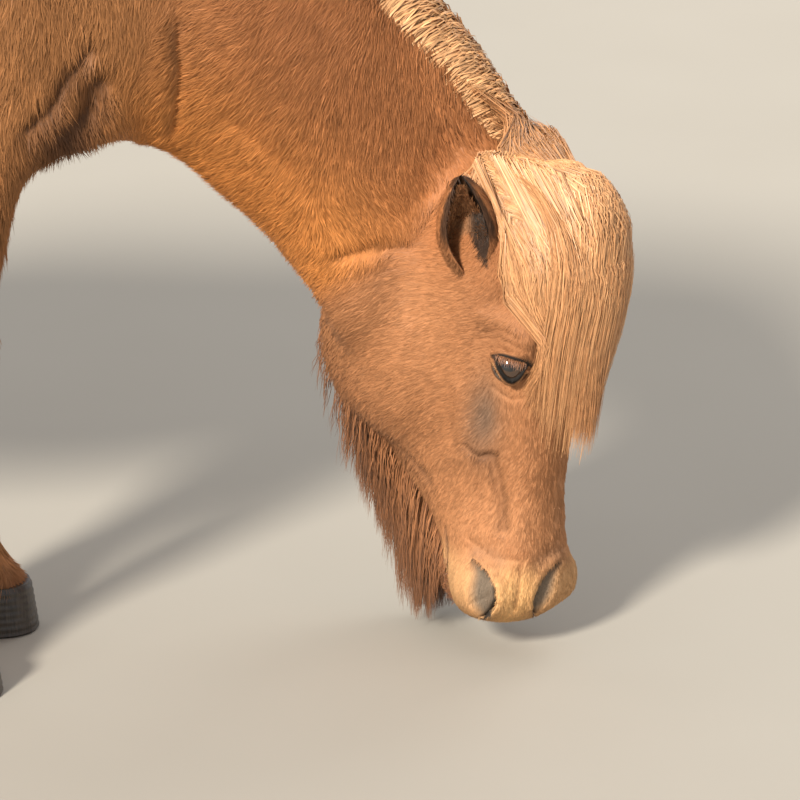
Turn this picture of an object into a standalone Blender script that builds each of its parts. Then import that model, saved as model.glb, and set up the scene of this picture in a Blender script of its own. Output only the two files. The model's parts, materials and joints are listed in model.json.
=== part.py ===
# A Shetland pony grazing, as a still, life-size model.
# Metres, +Z up. +X is the way the pony stands, +Y is its left side, the floor is z = 0.
# The origin is on the floor under the middle of the whole pony.
import math
import random

import bmesh
import bpy
import numpy as np
from mathutils import Vector
from mathutils.bvhtree import BVHTree

# Driving dimensions. A station's x is counted from the breast, where the neck meets the chest.
BREAST_X = 0.3114
WITHERS = 0.92
GAP = 0.0003
TRIM = 0.6 * GAP
FRONT_LINE = 0.002
FLOOR_CLEAR = 0.010
MANE_FROM = 0.20
MANE_TO = 0.86
VOXEL = 0.0080
BODY_TRIANGLES = 4100
RING = 28
HEAD_AHEAD = 0.60

# Torso stations from the breast to the buttocks: x, top, bottom, half width.
TORSO = (
    (-0.020, 0.690, 0.570, 0.040),
    (-0.050, 0.780, 0.520, 0.085),
    (-0.095, 0.855, 0.482, 0.128),
    (-0.150, 0.895, 0.458, 0.152),
    (-0.215, WITHERS, 0.445, 0.168),
    (-0.320, 0.902, 0.422, 0.192),
    (-0.450, 0.882, 0.402, 0.212),
    (-0.580, 0.882, 0.408, 0.216),
    (-0.700, 0.895, 0.445, 0.206),
    (-0.800, 0.896, 0.500, 0.190),
    (-0.890, 0.862, 0.550, 0.160),
    (-0.950, 0.800, 0.590, 0.118),
    (-0.985, 0.740, 0.640, 0.060),
)

# Neck stations: x and z under the neck, x and z on the crest, half width, bend to the left, turn.
NECK = (
    (-0.150, 0.490, -0.220, 0.905, 0.140, 0.000, 0.0),
    (-0.050, 0.510, -0.090, 0.898, 0.130, 0.005, 0.0),
    (0.022, 0.494, 0.060, 0.830, 0.113, 0.022, 0.0),
    (0.068, 0.452, 0.172, 0.735, 0.098, 0.044, 0.1),
    (0.107, 0.412, 0.250, 0.640, 0.087, 0.062, 0.2),
    (0.136, 0.374, 0.304, 0.570, 0.079, 0.074, 0.3),
    (0.163, 0.336, 0.340, 0.510, 0.072, 0.080, 0.4),
    (0.190, 0.290, 0.368, 0.465, 0.066, 0.078, 0.5),
    (0.240, 0.270, 0.375, 0.430, 0.050, 0.072, 0.6),
)

# Leg stations: height, middle x, half length, half width, and how far the middle is from the midline.
FORELEG = (
    (0.620, -0.150, 0.070, 0.040, 0.096),
    (0.520, -0.166, 0.082, 0.052, 0.098),
    (0.450, -0.172, 0.063, 0.047, 0.096),
    (0.380, -0.178, 0.051, 0.041, 0.094),
    (0.320, -0.182, 0.043, 0.037, 0.092),
    (0.275, -0.181, 0.042, 0.038, 0.091),
    (0.235, -0.185, 0.035, 0.033, 0.091),
    (0.180, -0.188, 0.030, 0.029, 0.090),
    (0.130, -0.188, 0.031, 0.030, 0.090),
    (0.100, -0.185, 0.036, 0.034, 0.090),
    (0.074, -0.174, 0.033, 0.033, 0.090),
    (0.052, -0.163, 0.036, 0.036, 0.090),
    (0.030, -0.160, 0.034, 0.034, 0.090),
)
HINDLEG = (
    (0.700, -0.830, 0.080, 0.050, 0.105),
    (0.600, -0.838, 0.115, 0.072, 0.114),
    (0.500, -0.824, 0.105, 0.070, 0.114),
    (0.425, -0.836, 0.077, 0.056, 0.110),
    (0.355, -0.866, 0.054, 0.044, 0.104),
    (0.305, -0.890, 0.049, 0.039, 0.100),
    (0.262, -0.896, 0.046, 0.036, 0.098),
    (0.215, -0.888, 0.037, 0.033, 0.096),
    (0.155, -0.880, 0.032, 0.031, 0.095),
    (0.102, -0.872, 0.037, 0.035, 0.094),
    (0.074, -0.860, 0.034, 0.033, 0.094),
    (0.052, -0.848, 0.037, 0.036, 0.094),
    (0.030, -0.845, 0.035, 0.034, 0.094),
)
CREST_THIN = 0.42
HOOF_HEIGHT = 0.048
HOOF_TOP = 0.0355
HOOF_SOLE = 0.0405
FORE_STAGGER = 0.012
HIND_STAGGER = 0.035
TOE_FORWARD = 0.002
HEAD_CUT_THROAT = (0.165, 0.338)
HEAD_CUT_CREST = (0.345, 0.500)
NECK_CUT = (-0.010, 0.500)
NECK_CUT_NORMAL = (0.96, 0.0, 0.28)
FORE_REACH = (BREAST_X - 0.34, BREAST_X + 0.02)
HIND_REACH = (BREAST_X - 1.05, BREAST_X - 0.62)
LEG_CUT = 0.388
HIND_CUT = 0.388
KNEE_CUT = 0.235
HOCK_CUT = 0.232

# Head: the poll's place, and the turn of the face to the right, its tuck and the twist of the muzzle.
POLL = (0.419, -0.028, 0.451)
FACE_TURN = math.radians(42)
FACE_TUCK = math.radians(7)
MUZZLE_TWIST = math.radians(8)
TWIST_FROM = 0.20
TWIST_OVER = 0.20
TWIST_AXIS = -0.06

# Head stations: distance from the poll, front line, back line, half width, squareness.
HEAD = (
    (-0.012, -0.070, -0.130, 0.038, 2.0),
    (0.000, -0.040, -0.175, 0.056, 2.0),
    (0.040, -0.016, -0.215, 0.068, 2.1),
    (0.080, -0.002, -0.244, 0.073, 2.2),
    (0.120, 0.005, -0.262, 0.074, 2.2),
    (0.155, 0.006, -0.272, 0.073, 2.2),
    (0.190, 0.004, -0.276, 0.070, 2.2),
    (0.220, 0.001, -0.275, 0.065, 2.2),
    (0.248, -0.001, -0.272, 0.060, 2.2),
    (0.274, -0.002, -0.262, 0.056, 2.3),
    (0.302, -0.002, -0.228, 0.053, 2.4),
    (0.330, 0.000, -0.180, 0.053, 2.5),
    (0.358, 0.004, -0.145, 0.055, 2.5),
    (0.384, 0.005, -0.126, 0.060, 2.5),
    (0.404, 0.001, -0.114, 0.059, 2.4),
    (0.419, -0.010, -0.100, 0.051, 2.2),
    (0.428, -0.026, -0.084, 0.035, 2.0),
)

# Muscles and bones that show, as ellipsoids on both sides of the head: place and radii along the head.
HEAD_FORMS = (
    (0.185, -0.180, 0.042, 0.105, 0.096, 0.044),
    (0.132, -0.030, 0.046, 0.032, 0.028, 0.020),
    (0.235, -0.066, 0.048, 0.060, 0.013, 0.016),
    (0.060, -0.070, 0.036, 0.055, 0.055, 0.028),
    (0.390, -0.034, 0.046, 0.030, 0.030, 0.021),
    (0.412, -0.056, 0.024, 0.014, 0.036, 0.028),
)
CHIN = (0.398, -0.098, 0.0, 0.022, 0.022, 0.034)

# Eye, nostril and mouth, in the head's own directions: down the face, out of it and to its side.
EYE_PLACE = (0.155, -0.036, 0.0485)
EYE_RADIUS = 0.0190
LID = 0.0035
EYE_SLIT = (0.0170, 0.0090)
EYE_OUTWARD = 0.75
NOSTRIL_PLACE = (0.372, -0.012, 0.0560)
NOSTRIL_RADII = (0.033, 0.0105, 0.022)
NOSTRIL_LEAN = 0.010
MOUTH_CORNER = (0.350, -0.086)
MOUTH_FRONT = (0.428, -0.056)
MOUTH_GROOVE = 0.0024

# Ears: place on the head, length, half width and wall.
EAR_PLACE = (0.066, -0.090, 0.052)
EAR_LENGTH = 0.108
EAR_HALF = 0.030
EAR_WALL = 0.0050
EAR_SINK = 0.014
EAR_RING = 7
EAR_LEAN = {-1: (0.00, 0.36), 1: (0.25, 0.30)}

# The tail's dock and the core of its hair, from the croup down: x from the breast, z and radius.
DOCK = (
    (-0.920, 0.835, 0.030),
    (-0.965, 0.828, 0.032),
    (-1.000, 0.792, 0.031),
    (-1.014, 0.735, 0.029),
    (-1.018, 0.660, 0.028),
    (-1.020, 0.560, 0.024),
    (-1.022, 0.460, 0.012),
)

# Locks: count (on each side for beard, on each row for tail), length, half width, half
# thickness, stand off the skin, steps, tilt that lets neighbours lie over each other, seed.
MANE = {"count": 19, "length": 0.260, "wide": 0.0185, "thick": 0.0020, "off": 0.012,
        "steps": 7, "tilt": 17, "seed": 11}
MANE_ARCH = 0.034
MANE_OVER = 0.110
FORELOCK = {"count": 8, "length": 0.300, "wide": 0.0125, "thick": 0.0015, "steps": 7,
            "tilt": 25, "seed": 13}
BEARD = {"count": 8, "length": 0.125, "wide": 0.0150, "thick": 0.0020, "off": 0.005,
         "steps": 5, "tilt": 12, "seed": 14}
TAIL = {"count": 4, "length": 0.400, "wide": 0.0270, "thick": 0.0022, "steps": 5,
        "tilt": 12, "seed": 15}
FEATHER = {"count": 5, "length": 0.058, "wide": 0.0110, "thick": 0.0018, "off": 0.004,
           "steps": 3, "tilt": 10, "seed": 16}
ROOT_SINK = 0.010
LOCK_ROOT = 0.42
LOCK_TIP = 0.10

# Forelock layers: root down the face, root out of it, height of the arch, stand off the face.
FORELOCK_LAYERS = (
    (0.034, -0.030, 0.028, 0.008),
    (0.012, -0.062, 0.038, 0.018),
    (-0.004, -0.094, 0.046, 0.027),
)

# Tail rows: root height, lowest tip, stand off the core.
TAIL_ROWS = (
    (0.800, 0.360, 0.019),
    (0.660, 0.220, 0.010),
    (0.540, 0.110, 0.002),
)

# Shoulder, breast, stifle, buttock and elbow on both sides: x, y, z and radii.
BODY_FORMS = (
    (-0.130, 0.088, 0.650, 0.090, 0.060, 0.160),
    (-0.060, 0.062, 0.570, 0.058, 0.050, 0.065),
    (-0.760, 0.118, 0.560, 0.080, 0.070, 0.115),
    (-0.890, 0.085, 0.650, 0.080, 0.070, 0.120),
    (-0.215, 0.100, 0.515, 0.055, 0.042, 0.060),
)

# Colour, roughness and metallic value of each finish.
FINISHES = {
    "coat": ((0.300, 0.110, 0.035), 0.75, 0.0),
    "eye": ((0.012, 0.008, 0.006), 0.10, 0.0),
    "horn": ((0.060, 0.048, 0.040), 0.55, 0.0),
}

# An ear's rings: share of its length, share of its half width, and half the opening in degrees.
EAR_SHAPE = (
    (0.00, 0.62, 24),
    (0.18, 0.86, 34),
    (0.40, 1.00, 46),
    (0.62, 0.88, 52),
    (0.82, 0.58, 56),
    (0.95, 0.26, 58),
    (1.00, 0.08, 60),
)


def blend(t):
    t = min(max(t, 0.0), 1.0)
    return t * t * (3 - 2 * t)


# A point along the head (down the face, out of the face, to the left) in the world.
def head_axes():
    heading = Vector((math.cos(FACE_TURN), -math.sin(FACE_TURN), 0.0))
    up = Vector((0.0, 0.0, 1.0))
    down_face = -math.sin(FACE_TUCK) * heading - math.cos(FACE_TUCK) * up
    out_of_face = math.cos(FACE_TUCK) * heading - math.sin(FACE_TUCK) * up
    left = Vector((math.sin(FACE_TURN), math.cos(FACE_TURN), 0.0))
    return down_face, out_of_face, left


DOWN_FACE, OUT_OF_FACE, FACE_LEFT = head_axes()


def head_point(down, out, left):
    turn = -MUZZLE_TWIST * blend((down - TWIST_FROM) / TWIST_OVER)
    away = out - TWIST_AXIS
    out_turned = TWIST_AXIS + away * math.cos(turn) - left * math.sin(turn)
    left_turned = away * math.sin(turn) + left * math.cos(turn)
    poll = Vector((BREAST_X + POLL[0], POLL[1], POLL[2]))
    return poll + down * DOWN_FACE + out_turned * OUT_OF_FACE + left_turned * FACE_LEFT


# Mesh helpers.
def clear_scene():
    for item in list(bpy.data.objects):
        bpy.data.objects.remove(item, do_unlink=True)


def new_object(name, points, faces, group):
    mesh = bpy.data.meshes.new(name)
    mesh.from_pydata([tuple(p) for p in points], [], faces)
    mesh.update()
    made = bpy.data.objects.new(name, mesh)
    group.objects.link(made)
    return made


# A closed loft through rings of equally many points, with a fan on each end.
def loft(name, rings, group):
    count = len(rings[0])
    points = [p for ring in rings for p in ring]
    faces = []
    for k in range(len(rings) - 1):
        for i in range(count):
            j = (i + 1) % count
            faces.append((k * count + i, k * count + j, (k + 1) * count + j, (k + 1) * count + i))
    for k, order in ((0, -1), (len(rings) - 1, 1)):
        middle = sum((Vector(p) for p in rings[k]), Vector()) / count
        points.append(middle)
        for i in range(count):
            j = (i + 1) % count
            face = (k * count + i, k * count + j, len(points) - 1)
            faces.append(face[::order])
    made = new_object(name, points, faces, group)
    face_outward(made)
    return made


def face_outward(made):
    work = bmesh.new()
    work.from_mesh(made.data)
    bmesh.ops.triangulate(work, faces=work.faces)
    bmesh.ops.recalc_face_normals(work, faces=work.faces)
    work.to_mesh(made.data)
    work.free()


def oval(centre, across, up, power=2.0, count=RING):
    ring = []
    for i in range(count):
        angle = 2 * math.pi * i / count
        c, s = math.cos(angle), math.sin(angle)
        a = math.copysign(abs(c) ** (2 / power), c)
        b = math.copysign(abs(s) ** (2 / power), s)
        ring.append(Vector(centre) + a * Vector(across) + b * Vector(up))
    return ring


def ellipsoid(name, centre, axes, group, rings=10):
    work = bmesh.new()
    bmesh.ops.create_uvsphere(work, u_segments=2 * rings, v_segments=rings, radius=1.0)
    for v in work.verts:
        x, y, z = v.co
        v.co = Vector(centre) + x * axes[0] + y * axes[1] + z * axes[2]
    mesh = bpy.data.meshes.new(name)
    work.to_mesh(mesh)
    work.free()
    made = bpy.data.objects.new(name, mesh)
    group.objects.link(made)
    face_outward(made)
    return made


# Smooth curve through stations, so that few named rows give many rings.
def between(rows, steps):
    rows = np.array(rows, float)
    last = len(rows) - 1
    out = []
    for k in range(last):
        before = rows[max(k - 1, 0)]
        after = rows[min(k + 2, last)]
        here, there = rows[k], rows[k + 1]
        for s in range(steps):
            t = s / steps
            row = (0.5 * (2 * here + (there - before) * t
                          + (2 * before - 5 * here + 4 * there - after) * t * t
                          + (3 * here - before - 3 * there + after) * t ** 3))
            out.append(row.tolist())
    out.append(rows[last].tolist())
    return out


# The flesh of the body, as overlapping closed forms.
def torso_form(group):
    rings = []
    for x, top, bottom, half in between(TORSO, 3):
        middle = Vector((BREAST_X + x, 0, (top + bottom) / 2))
        rings.append(oval(middle, (0, half, 0), (0, 0, (top - bottom) / 2), 2.15))
    return loft("torso_form", rings, group)


def neck_form(group):
    rings = []
    for xu, zu, xc, zc, half, bend, turn in between(NECK, 3):
        under = Vector((BREAST_X + xu, bend, zu))
        crest = Vector((BREAST_X + xc, bend, zc))
        across = Vector((0, 1, 0)).lerp(FACE_LEFT, turn).normalized() * half
        ring = []
        for point in oval((0, 0, 0), (0, 1, 0), (0, 0, 1), 2.1):
            thin = 1 - CREST_THIN * blend((point.z + 0.15) / 1.15)
            place = (under + crest) / 2 + point.z * (crest - under) / 2
            ring.append(place + point.y * thin * across)
        rings.append(ring)
    return loft("neck_form", rings, group)


def leg_form(name, rows, side, stagger, group):
    rings = []
    for z, x, long, wide, out in between(rows, 2):
        lean = stagger * (1 - blend(z / 0.5))
        rings.append(oval((BREAST_X + x + lean, side * out, z), (long, 0, 0), (0, wide, 0)))
    return loft(name, rings, group)


def head_form(group):
    rings = []
    for down, front, back, half, power in between(HEAD, 3):
        ring = []
        for point in oval((0, 0, 0), (1, 0, 0), (0, 1, 0), power):
            narrow = 1 - 0.30 * blend(-point.x)
            out = (front + back) / 2 + point.x * (front - back) / 2
            ring.append(head_point(down, out, point.y * half * narrow))
        rings.append(ring)
    return loft("head_form", rings, group)


def head_ellipsoid(name, place, radii, side, group, rings=10):
    down, out, left = place
    axes = []
    centre = head_point(down, out, side * left)
    for k, radius in enumerate(radii):
        step = [down, out, side * left]
        step[k] += radius
        axes.append(head_point(*step) - centre)
    return ellipsoid(name, centre, axes, group, rings)


def flesh(group):
    forms = [torso_form(group), neck_form(group), head_form(group)]
    for side in (-1, 1):
        forms.append(leg_form("foreleg_form", FORELEG, side, side * FORE_STAGGER, group))
        forms.append(leg_form("hindleg_form", HINDLEG, side, -side * HIND_STAGGER, group))
        for x, y, z, rx, ry, rz in BODY_FORMS:
            axes = (Vector((rx, 0, 0)), Vector((0, ry, 0)), Vector((0, 0, rz)))
            forms.append(ellipsoid("muscle", (BREAST_X + x, side * y, z), axes, group))
        for row in HEAD_FORMS:
            forms.append(head_ellipsoid("head_muscle", row[:3], row[3:], side, group))
    forms.append(head_ellipsoid("chin", CHIN[:3], CHIN[3:], 1, group))
    return forms


def join(parts, name, group):
    work = bmesh.new()
    for part in parts:
        work.from_mesh(part.data)
    mesh = bpy.data.meshes.new(name)
    work.to_mesh(mesh)
    work.free()
    for part in parts:
        bpy.data.objects.remove(part, do_unlink=True)
    made = bpy.data.objects.new(name, mesh)
    group.objects.link(made)
    return made


def apply_modifiers(made):
    shown = made.evaluated_get(bpy.context.evaluated_depsgraph_get())
    mesh = bpy.data.meshes.new_from_object(shown)
    made.modifiers.clear()
    made.data = mesh
    return made


def whole_body(group):
    body = join(flesh(group), "body", group)
    remesh = body.modifiers.new("one_skin", "REMESH")
    remesh.mode = "VOXEL"
    remesh.voxel_size = VOXEL
    smooth = body.modifiers.new("soften", "SMOOTH")
    smooth.factor = 0.5
    smooth.iterations = 6
    apply_modifiers(body)
    trunk = body.vertex_groups.new(name="trunk")
    for v in body.data.vertices:
        weight = blend((v.co.z - 0.44) / 0.08) * blend((HEAD_AHEAD - v.co.x) / 0.06)
        if weight > 0:
            trunk.add([v.index], weight, "REPLACE")
    rounder = body.modifiers.new("soften_trunk", "SMOOTH")
    rounder.vertex_group = "trunk"
    rounder.factor = 0.5
    rounder.iterations = 45
    coarser = body.modifiers.new("coarser", "DECIMATE")
    coarser.ratio = BODY_TRIANGLES / (2 * len(body.data.polygons))
    apply_modifiers(body)
    keep_largest(body)
    return body


# Keeps only the largest closed surface of a mesh.
def keep_largest(made):
    work = bmesh.new()
    work.from_mesh(made.data)
    bmesh.ops.triangulate(work, faces=work.faces)
    left = set(work.verts)
    shells = []
    while left:
        stack = [left.pop()]
        shell = set(stack)
        while stack:
            for edge in stack.pop().link_edges:
                for v in edge.verts:
                    if v in left:
                        left.remove(v)
                        shell.add(v)
                        stack.append(v)
        shells.append(shell)
    largest = max(shells, key=len)
    scraps = [v for shell in shells if shell is not largest for v in shell]
    bmesh.ops.delete(work, geom=scraps, context="VERTS")
    work.to_mesh(made.data)
    work.free()


# Boolean with closed meshes, applied, with the tool objects removed.
def combine(made, tools, operation, solver="MANIFOLD"):
    holder = bpy.data.collections.new("tools")
    bpy.context.scene.collection.children.link(holder)
    for tool in tools:
        for group in list(tool.users_collection):
            group.objects.unlink(tool)
        holder.objects.link(tool)
    step = made.modifiers.new("combine", "BOOLEAN")
    step.operation = operation
    step.operand_type = "COLLECTION"
    step.collection = holder
    step.solver = solver
    apply_modifiers(made)
    for tool in tools:
        bpy.data.objects.remove(tool, do_unlink=True)
    bpy.data.collections.remove(holder)
    keep_largest(made)
    return made


def copy_of(made, name, group):
    twin = bpy.data.objects.new(name, made.data.copy())
    group.objects.link(twin)
    return twin


# A copy whose surface stands off by a distance, for cuts that leave a gap.
def grown(made, distance, group):
    twin = copy_of(made, "grown", group)
    step = twin.modifiers.new("grow", "DISPLACE")
    step.strength = distance
    step.mid_level = 0.0
    return apply_modifiers(twin)


def box(name, low, high, group):
    work = bmesh.new()
    bmesh.ops.create_cube(work, size=1.0)
    low, high = Vector(low), Vector(high)
    for v in work.verts:
        v.co = (low + high) / 2 + Vector(v.co[k] * (high[k] - low[k]) for k in range(3))
    mesh = bpy.data.meshes.new(name)
    work.to_mesh(mesh)
    work.free()
    made = bpy.data.objects.new(name, mesh)
    group.objects.link(made)
    return made


# A block whose one face lies on a plane, reaching along the plane's normal.
def block(name, on_plane, normal, reach, spread, group):
    normal = Vector(normal).normalized()
    side = Vector((0, 1, 0))
    along = normal.cross(side).normalized()
    work = bmesh.new()
    bmesh.ops.create_cube(work, size=1.0)
    centre = Vector(on_plane) + normal * reach / 2
    for v in work.verts:
        v.co = centre + v.co.x * reach * normal + v.co.y * side + v.co.z * spread * along
    mesh = bpy.data.meshes.new(name)
    work.to_mesh(mesh)
    work.free()
    made = bpy.data.objects.new(name, mesh)
    group.objects.link(made)
    face_outward(made)
    return made


# Splits one piece off a body: the body keeps what lies GAP outside the block.
def split_off(body, name, make_block, group):
    piece = copy_of(body, name, group)
    combine(piece, [make_block(0.0)], "INTERSECT")
    combine(body, [make_block(GAP)], "DIFFERENCE")
    return piece


def head_block(shift):
    throat = Vector((BREAST_X + HEAD_CUT_THROAT[0], 0, HEAD_CUT_THROAT[1]))
    crest = Vector((BREAST_X + HEAD_CUT_CREST[0], 0, HEAD_CUT_CREST[1]))
    normal = Vector((crest.z - throat.z, 0, throat.x - crest.x)).normalized()
    return block("head_block", (throat + crest) / 2 - normal * shift, normal, 0.7, 0.72, WORK)


def neck_block(shift):
    normal = Vector(NECK_CUT_NORMAL).normalized()
    place = Vector((BREAST_X + NECK_CUT[0], 0, NECK_CUT[1])) - normal * shift
    return block("neck_block", place, normal, 0.7, 1.6, WORK)


# The legs of one pair, each below its cut, then parted at knee or hock.
def leg_pieces(body, pair, cut, joint_cut, low_x, high_x, group):
    made = []
    for side, side_name in ((-1, "right"), (1, "left")):
        def leg_block(shift):
            low = (low_x - shift, 0.004 if side > 0 else -0.4, HOOF_HEIGHT + GAP)
            high = (high_x + shift, 0.4 if side > 0 else -0.004, cut + shift)
            return box("leg_block", low, high, WORK)
        upper = copy_of(body, f"{pair}leg_upper_{side_name}", group)
        combine(upper, [leg_block(0.0)], "INTERSECT")
        lower = copy_of(upper, f"{pair}leg_lower_{side_name}", group)
        far = 2.0
        low_box = box("low", (-far, -far, -far), (far, far, joint_cut), WORK)
        combine(lower, [low_box], "INTERSECT")
        high_box = box("high", (-far, -far, joint_cut + GAP), (far, far, far), WORK)
        combine(upper, [high_box], "INTERSECT")
        made += [upper, lower]
    trim = box("legs_off", (low_x - GAP, -0.4, -0.1), (high_x + GAP, 0.4, cut + GAP), WORK)
    combine(body, [trim], "DIFFERENCE")
    return made


# A hoof: rings from the flat sole to the coronet, longer at the toe.
def hoof(name, x, y, group):
    rings = []
    for share, grow in ((0.0, -0.002), (0.06, 0.0), (0.5, 0.0), (1.0, 0.0)):
        radius = HOOF_SOLE + (HOOF_TOP - HOOF_SOLE) * share + grow
        middle = x + TOE_FORWARD * (1 - share)
        ring = []
        for point in oval((0, 0, 0), (1, 0, 0), (0, 1, 0), 2.2, 16):
            toe = radius * (1.06 if point.x > 0 else 0.92)
            ring.append(Vector((middle + point.x * toe, y + point.y * radius * 0.94, share * HOOF_HEIGHT)))
        rings.append(ring)
    return loft(name, rings, group)


def hooves(group):
    made = []
    for side, side_name in ((-1, "right"), (1, "left")):
        for pair, rows, stagger in (("fore", FORELEG, FORE_STAGGER), ("hind", HINDLEG, -HIND_STAGGER)):
            last = rows[-1]
            x = BREAST_X + last[1] + side * stagger
            made.append(hoof(f"hoof_{pair}_{side_name}", x, side * last[4], group))
    return made


# An ear: a leaf rolled to a cup, its opening turned to the side.
def ear(name, side, group):
    base = head_point(EAR_PLACE[0], EAR_PLACE[1], side * EAR_PLACE[2])
    back, splay = EAR_LEAN[side]
    up = (-DOWN_FACE - OUT_OF_FACE * back + FACE_LEFT * side * splay).normalized()
    outward = (FACE_LEFT * side * 0.80 + OUT_OF_FACE * 0.62)
    outward = (outward - outward.dot(up) * up).normalized()
    across = up.cross(outward).normalized()
    rings = []
    for share, wide, open_angle in EAR_SHAPE:
        middle = base + up * (share * EAR_LENGTH - EAR_SINK) + outward * 0.006 * math.sin(math.pi * share)
        half = EAR_HALF * wide
        wall = min(EAR_WALL, half * 0.6)
        opening = math.radians(open_angle)
        outer = []
        inner = []
        for k in range(EAR_RING):
            angle = opening + (2 * math.pi - 2 * opening) * k / (EAR_RING - 1)
            direction = math.cos(angle) * outward * 0.80 + math.sin(angle) * across
            outer.append(middle + direction * half)
            inner.append(middle + direction * (half - wall))
        rings.append(outer + inner[::-1])
    return loft(name, rings, group)


def eyeball(name, side, radius, group, rings=6):
    centre = head_point(EYE_PLACE[0], EYE_PLACE[1], side * EYE_PLACE[2])
    axes = [Vector((radius, 0, 0)), Vector((0, radius, 0)), Vector((0, 0, radius))]
    return ellipsoid(name, centre, axes, group, rings)


# Lids round the eye: a thin ball over the eyeball, opened by a slit, then hollowed for the ball.
def lids(head, side, group):
    centre = head_point(EYE_PLACE[0], EYE_PLACE[1], side * EYE_PLACE[2])
    combine(head, [eyeball("lid_ball", side, EYE_RADIUS + LID, WORK)], "UNION")
    outward = (FACE_LEFT * side * EYE_OUTWARD + OUT_OF_FACE * (1 - EYE_OUTWARD)).normalized()
    along = (OUT_OF_FACE - OUT_OF_FACE.dot(outward) * outward).normalized()
    slit_axes = (along * EYE_SLIT[0], outward * EYE_RADIUS, DOWN_FACE * EYE_SLIT[1])
    slit = ellipsoid("slit", centre + outward * EYE_RADIUS * 0.9, slit_axes, WORK, 6)
    combine(head, [slit, eyeball("socket", side, EYE_RADIUS + GAP, WORK)], "DIFFERENCE")


def nostril(side):
    down, out, left = NOSTRIL_PLACE
    centre = head_point(down, out, side * left)
    long = (head_point(down + 0.01, out - NOSTRIL_LEAN, side * (left - 0.004)) - centre).normalized()
    inward = (head_point(down, out - 0.01, side * (left - 0.012)) - centre).normalized()
    wide = long.cross(inward).normalized()
    axes = (long * NOSTRIL_RADII[0], wide * NOSTRIL_RADII[1], inward * NOSTRIL_RADII[2])
    return ellipsoid("nostril", centre, axes, WORK, 6)


# A groove is a tube laid half into the surface, found by looking inward from outside.
def groove(name, points, radius):
    rings = []
    for k, point in enumerate(points):
        ahead = points[min(k + 1, len(points) - 1)] - points[max(k - 1, 0)]
        ahead.normalize()
        side = ahead.orthogonal().normalized()
        other = ahead.cross(side)
        rings.append(oval(point, side * radius, other * radius, 2.0, 6))
    return loft(name, rings, WORK)


def mouth_grooves(head):
    surface = BVHTree.FromObject(head, bpy.context.evaluated_depsgraph_get())
    tools = []
    for side in (-1, 1):
        points = []
        for k in range(7):
            share = k / 6
            down = MOUTH_CORNER[0] + share * (MOUTH_FRONT[0] - MOUTH_CORNER[0])
            out = MOUTH_CORNER[1] + share * (MOUTH_FRONT[1] - MOUTH_CORNER[1])
            start = head_point(down, out, side * 0.2)
            inward = (head_point(down, out, 0) - start).normalized()
            hit = surface.ray_cast(start, inward)[0]
            if hit is not None:
                points.append(hit)
        tools.append(groove("mouth", points, MOUTH_GROOVE))
    return tools


# The path of a lock: it leaves its root, bends to the way it hangs and stays off the skin.
def lock_path(root, start, hang, length, size, bend, surface):
    steps = size["steps"]
    stride = length / steps
    start = start.normalized()
    hang = hang.normalized()
    place = Vector(root)
    path = [place - start * ROOT_SINK]
    for k in range(steps):
        turn = blend((k + 0.6) / steps * bend)
        place = place + (start * (1 - turn) + hang * turn).normalized() * stride
        near, normal = surface.find_nearest(place)[:2]
        stand = size["off"] * blend((k + 1) / 3)
        if (place - near).dot(normal) < stand:
            place = near + normal * stand
        place.z = max(place.z, FLOOR_CLEAR + size["thick"])
        path.append(place.copy())
    return path


# One lock: a flat, tapered loft along its path. Its width lies along across, tilted so that its
# neighbours can lie over it.
def lock(path, size, wide, across, tilt=1.0):
    last = len(path) - 1
    rings = []
    turn = math.radians(size["tilt"]) * tilt
    for k, point in enumerate(path):
        ahead = (path[min(k + 1, last)] - path[max(k - 1, 0)]).normalized()
        side = (across - across.dot(ahead) * ahead).normalized()
        out = side.cross(ahead)
        share = k / last
        swell = LOCK_ROOT + (1 - LOCK_ROOT) * math.sin(math.pi * min(share * 1.25, 1.0) ** 0.8)
        swell = LOCK_TIP if k == last else swell
        flat = (out * math.cos(turn) - side * math.sin(turn)) * size["thick"] * max(swell, 0.25)
        edge = (side * math.cos(turn) + out * math.sin(turn)) * wide * swell
        rings.append([point + edge, point + flat, point - edge, point - flat])
    return loft("lock", rings, WORK)


def crest_at(share):
    rows = between(NECK, 6)
    place = share * (len(rows) - 1)
    k = min(int(place), len(rows) - 2)
    here, there = np.array(rows[k]), np.array(rows[k + 1])
    row = here + (there - here) * (place - k)
    ahead = Vector((there[2] - here[2], there[5] - here[5], there[3] - here[3])).normalized()
    return Vector((BREAST_X + row[2], row[5], row[3])), ahead


# How far a point lies past the cut between neck and head.
def past_head_cut(point):
    throat = Vector((BREAST_X + HEAD_CUT_THROAT[0], 0, HEAD_CUT_THROAT[1]))
    crest = Vector((BREAST_X + HEAD_CUT_CREST[0], 0, HEAD_CUT_CREST[1]))
    return (point - throat).dot(Vector((crest.z - throat.z, 0, throat.x - crest.x)).normalized())


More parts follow.
